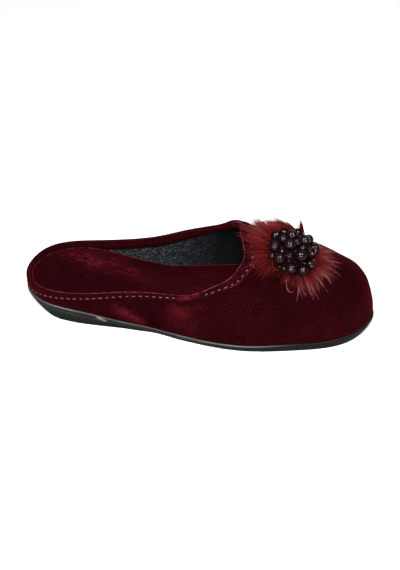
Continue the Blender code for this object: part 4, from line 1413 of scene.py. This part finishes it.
def new_velvet(name, level, patches, grain, mottle, deep, lit):
    """A velvet with its own colours and its own amount of wear."""
    material, tree, shader = new_material(name, Roughness=1.0, Specular_IOR_Level=0.0, Sheen_Weight=0.05,
                                          Sheen_Roughness=0.45, Sheen_Tint=(1.0, 0.10, 0.17, 1.0))
    place = object_place(tree)
    cloth = put(tree, "Group", {"Vector": place, "Tone marks": stored(tree, "tone_marks"), "Level": level,
                                "Patches": patches, "Grain": grain, "Mottle": mottle, "Deep": deep,
                                "Lit": lit, "Rubbed and highlight": RUBBED_AND_HIGHLIGHT}, node_tree=velvet_tone)
    fluff = put(tree, "Group", {"Vector": place, "Colour": cloth.outputs["Colour"], "Fluff": FLUFF,
                                "Amount": FLUFF_AMOUNT}, node_tree=lint)
    finish_shader(tree, shader, fluff.outputs["Colour"], cloth.outputs["Height"],
                  PILE_STRENGTH, PILE_DISTANCE)
    return material


velvets = {name: new_velvet(name, *row) for name, row in VELVETS.items()}
print("velvets:", list(velvets))

# %% [markdown]
# ## Lining
#
# Inside, the upper is lined with a slate-grey fleece, speckled light and dark, and darker toward the toe,
# where little light comes in. A picture of real fleece would do, but two sizes of noise, pushed to a strong
# contrast, give the same speckle at any distance, as colour and as bump.

# %% The lining
FLEECE_LIE = (0.6, 1.0, 1.5)
FLEECE_NOISE = (750.0, 3.0, 0.75)
FLEECE_FROM, FLEECE_TO = 0.45, 0.62
LINING_TUFTS = (150.0, 2.0)
DEEP_FROM, DEEP_TO, DEEP_SHADE = -0.036, 0.010, 0.05
LINING_DARK, LINING_LIGHT = (0.004, 0.0045, 0.0048), (0.110, 0.130, 0.140)

lining, tree, shader = new_material("slate_lining", Roughness=0.95, Specular_IOR_Level=0.02)
place = object_place(tree)
lie = put(tree, "Mapping", {"Vector": place, "Scale": FLEECE_LIE}).outputs[0]
fleece = noise(tree, lie, *FLEECE_NOISE)
speckle = ranged(tree, fleece, FLEECE_FROM, FLEECE_TO)
shade = calculate(tree, "MULTIPLY", speckle, noise(tree, place, *LINING_TUFTS))
ahead = put(tree, "SeparateXYZ", {"Vector": place}).outputs["X"]
shade = calculate(tree, "MULTIPLY", shade, ranged(tree, ahead, DEEP_FROM, DEEP_TO, 1.0, DEEP_SHADE))
finish_shader(tree, shader, blend(tree, shade, LINING_DARK, LINING_LIGHT), fleece, 0.6, 0.0008)
print("lining nodes:", len(tree.nodes))

# %% [markdown]
# ## Rubber
#
# The wedge is matt black rubber. A painted highlight runs along the lip, painted shading bands the side and
# darkens it toward the floor, painted shade darkens its fore part toward the toe, the side has faint streaks
# from the mould, and there is a pale scuff on the outer side. How far a point lies below the lip was stored
# on the mesh, so the painted highlight and shading follow the lip wherever the sole rises or falls.

# %% The rubber
SIDE_PAINTED_SHADE = {
    # share of the way down the side: how light the painted shading makes the rubber
    0.0: 0.50, 0.20: 0.36, 0.38: 0.78, 0.54: 0.24, 0.80: 0.30, 0.95: 0.0,
}
STREAK_STRETCH = (22.0, 22.0, 620.0)
STREAK_FROM, STREAK_TO, STREAK_SWING = 0.35, 0.65, 0.4
TOE_SHADE_FROM, TOE_SHADE_TO, TOE_SHADE = 0.0, 0.07, 0.42
RUBBER_DARK, RUBBER_GREY = (0.0024, 0.0027, 0.0025), (0.0185, 0.0198, 0.0185)
LIP_HIGHLIGHT_FROM, LIP_HIGHLIGHT_TO, LIP_HIGHLIGHT_GREY = 0.42, 0.10, (0.112, 0.118, 0.112)
SCUFF_GAIN, SCUFF_PALE = 1.6, (0.36, 0.33, 0.245)
RUBBER_ROUGH = (0.42, 0.68)

rubber, tree, shader = new_material("sole_rubber", Specular_IOR_Level=0.03)
place = object_place(tree)
lip, low, lip_highlight, scuff = (stored(tree, name) for name in ("lip", "low", "lip_highlight", "tone_marks"))
stretch = put(tree, "Mapping", {"Vector": place, "Scale": STREAK_STRETCH}).outputs[0]
streaks = noise(tree, stretch, 1.0, 4.0, 0.65)
grit = noise(tree, place, 1500.0, 2.0)
# painted shading down the side, darkest at the bottom where the side rolls under
tones = put(tree, "ValToRGB", {"Fac": low})
while len(tones.color_ramp.elements) < len(SIDE_PAINTED_SHADE):
    tones.color_ramp.elements.new(0.5)
for element, (share, tone) in zip(tones.color_ramp.elements, SIDE_PAINTED_SHADE.items()):
    element.position, element.color = share, (tone, tone, tone, 1.0)
banded = ranged(tree, streaks, STREAK_FROM, STREAK_TO, 1.0 - STREAK_SWING, 1.0 + STREAK_SWING)
lit = calculate(tree, "MULTIPLY", banded, tones.outputs["Color"])
ahead = put(tree, "SeparateXYZ", {"Vector": place}).outputs["X"]
# painted shade: the side's shading darkens from the middle of the sole toward the toe
lit = calculate(tree, "MULTIPLY", lit, ranged(tree, ahead, TOE_SHADE_FROM, TOE_SHADE_TO, 1.0, TOE_SHADE))
# painted highlight: a pale line along the top edge of the lip
lip_shine = calculate(tree, "MULTIPLY", ranged(tree, lip, LIP_HIGHLIGHT_FROM, LIP_HIGHLIGHT_TO), lip_highlight)
lip_shine = calculate(tree, "MULTIPLY", lip_shine, banded, clamp=True)
tint = blend(tree, lip_shine, blend(tree, lit, RUBBER_DARK, RUBBER_GREY), LIP_HIGHLIGHT_GREY)
scuffed = calculate(tree, "MULTIPLY", scuff, grit)
scuffed = calculate(tree, "MULTIPLY", scuffed, SCUFF_GAIN, clamp=True)
tree.links.new(ranged(tree, streaks, 0.0, 1.0, *RUBBER_ROUGH), shader.inputs["Roughness"])
finish_shader(tree, shader, blend(tree, scuffed, tint, SCUFF_PALE), grit, 0.25, 0.0003)
print("rubber nodes:", len(tree.nodes))

# %% [markdown]
# ## Thread, fur and glass
#
# The thread is a pale pink cotton with a twist. The hair goes from a dark root through rust red to a pinkish
# tip, by the values stored on each hair; the dark root is partly painted shade near the beads, and the
# near-black pad is painted shade for the gaps between the beads. The glass is nearly black with a plum cast:
# a weak but sharp reflection over a dark body gives the small bright windows that the lamps make in polished
# beads.

# %% Thread
THREAD_DARK, THREAD_PALE = (0.10, 0.031, 0.035), (0.22, 0.084, 0.093)

thread, tree, shader = new_material("pink_thread", Roughness=0.7, Specular_IOR_Level=0.05)
twist = put(tree, "TexWave", {"Vector": object_place(tree), "Scale": 420.0, "Distortion": 1.0},
            bands_direction="DIAGONAL").outputs["Fac"]
finish_shader(tree, shader, blend(tree, twist, THREAD_DARK, THREAD_PALE), twist, 0.5, 0.0003)
print("thread nodes:", len(tree.nodes))

# %% Fur
FUR_COLOURS = {
    # name: root (its dark colour partly painted shade near the beads), middle, tip
    "rust": ((0.009, 0.0005, 0.0005), (0.110, 0.0056, 0.0050), (0.170, 0.0130, 0.0120)),
    "pink": ((0.009, 0.0006, 0.0007), (0.120, 0.0120, 0.0130), (0.320, 0.1200, 0.1230)),
}
FUR_MIDDLE = 0.46
DULLEST, BRIGHTEST = 0.08, 1.9
# The pad's skin is near black: painted shade for the gaps between the beads.
PAD_DARK, PAD_RED = (0.002, 0.0004, 0.0005), (0.010, 0.0014, 0.0017)

fur, tree, shader = new_material("red_brown_fur", Roughness=0.6, Specular_IOR_Level=0.02)
tip, tone, pink = (stored(tree, name) for name in ("tip", "tone", "pink"))
ramps = {}
for name, (root_colour, middle_colour, tip_colour) in FUR_COLOURS.items():
    ramp = put(tree, "ValToRGB", {"Fac": tip})
    ramp.color_ramp.elements[0].color = (*root_colour, 1.0)
    ramp.color_ramp.elements[1].color = (*tip_colour, 1.0)
    ramp.color_ramp.elements.new(FUR_MIDDLE).color = (*middle_colour, 1.0)
    ramps[name] = ramp.outputs["Color"]
dyed = blend(tree, pink, ramps["rust"], ramps["pink"])
dull = ranged(tree, tone, 0.0, 1.0, DULLEST, BRIGHTEST)
finish_shader(tree, shader, put(tree, "VectorMath", {0: dyed, 1: dull}, operation="MULTIPLY").outputs[0])

pad_skin, tree, shader = new_material("fur_pad_skin", Roughness=0.95, Specular_IOR_Level=0.0)
fuzz = noise(tree, object_place(tree), 900.0, 3.0)
finish_shader(tree, shader, blend(tree, fuzz, PAD_DARK, PAD_RED), fuzz, 0.8, 0.001)
print("fur colours:", list(ramps))

# %% Glass
GLASS_DARK, GLASS_PLUM = (0.0018, 0.0006, 0.0008), (0.0052, 0.0017, 0.0022)
GLASS_ROUGH = (0.02, 0.05)

glass, tree, shader = new_material("plum_glass", IOR=1.5, Specular_IOR_Level=0.09,
                                   Specular_Tint=(1.0, 0.78, 0.8, 1.0))
cloud = noise(tree, object_place(tree), 180.0, 2.0)
tree.links.new(ranged(tree, cloud, 0.0, 1.0, *GLASS_ROUGH), shader.inputs["Roughness"])
finish_shader(tree, shader, blend(tree, cloud, GLASS_DARK, GLASS_PLUM))
print("glass nodes:", len(tree.nodes))

# %% Dress the pieces
DRESSES = (
    (upper, velvets["upper_velvet"]),
    (upper, lining),
    (binding, velvets["binding_velvet"]),
    (stitches, thread),
    (insole, velvets["insole_velvet"]),
    (outsole, rubber),
    (fur_pad, pad_skin),
    *((piece, fur) for piece in hair_pieces),
    *((piece, glass) for piece in bead_pieces),
)
for piece, material in DRESSES:
    piece.data.materials.append(material)
for piece in bead_pieces:
    catch_lit.objects.link(piece)
print("materials given:", len(DRESSES))
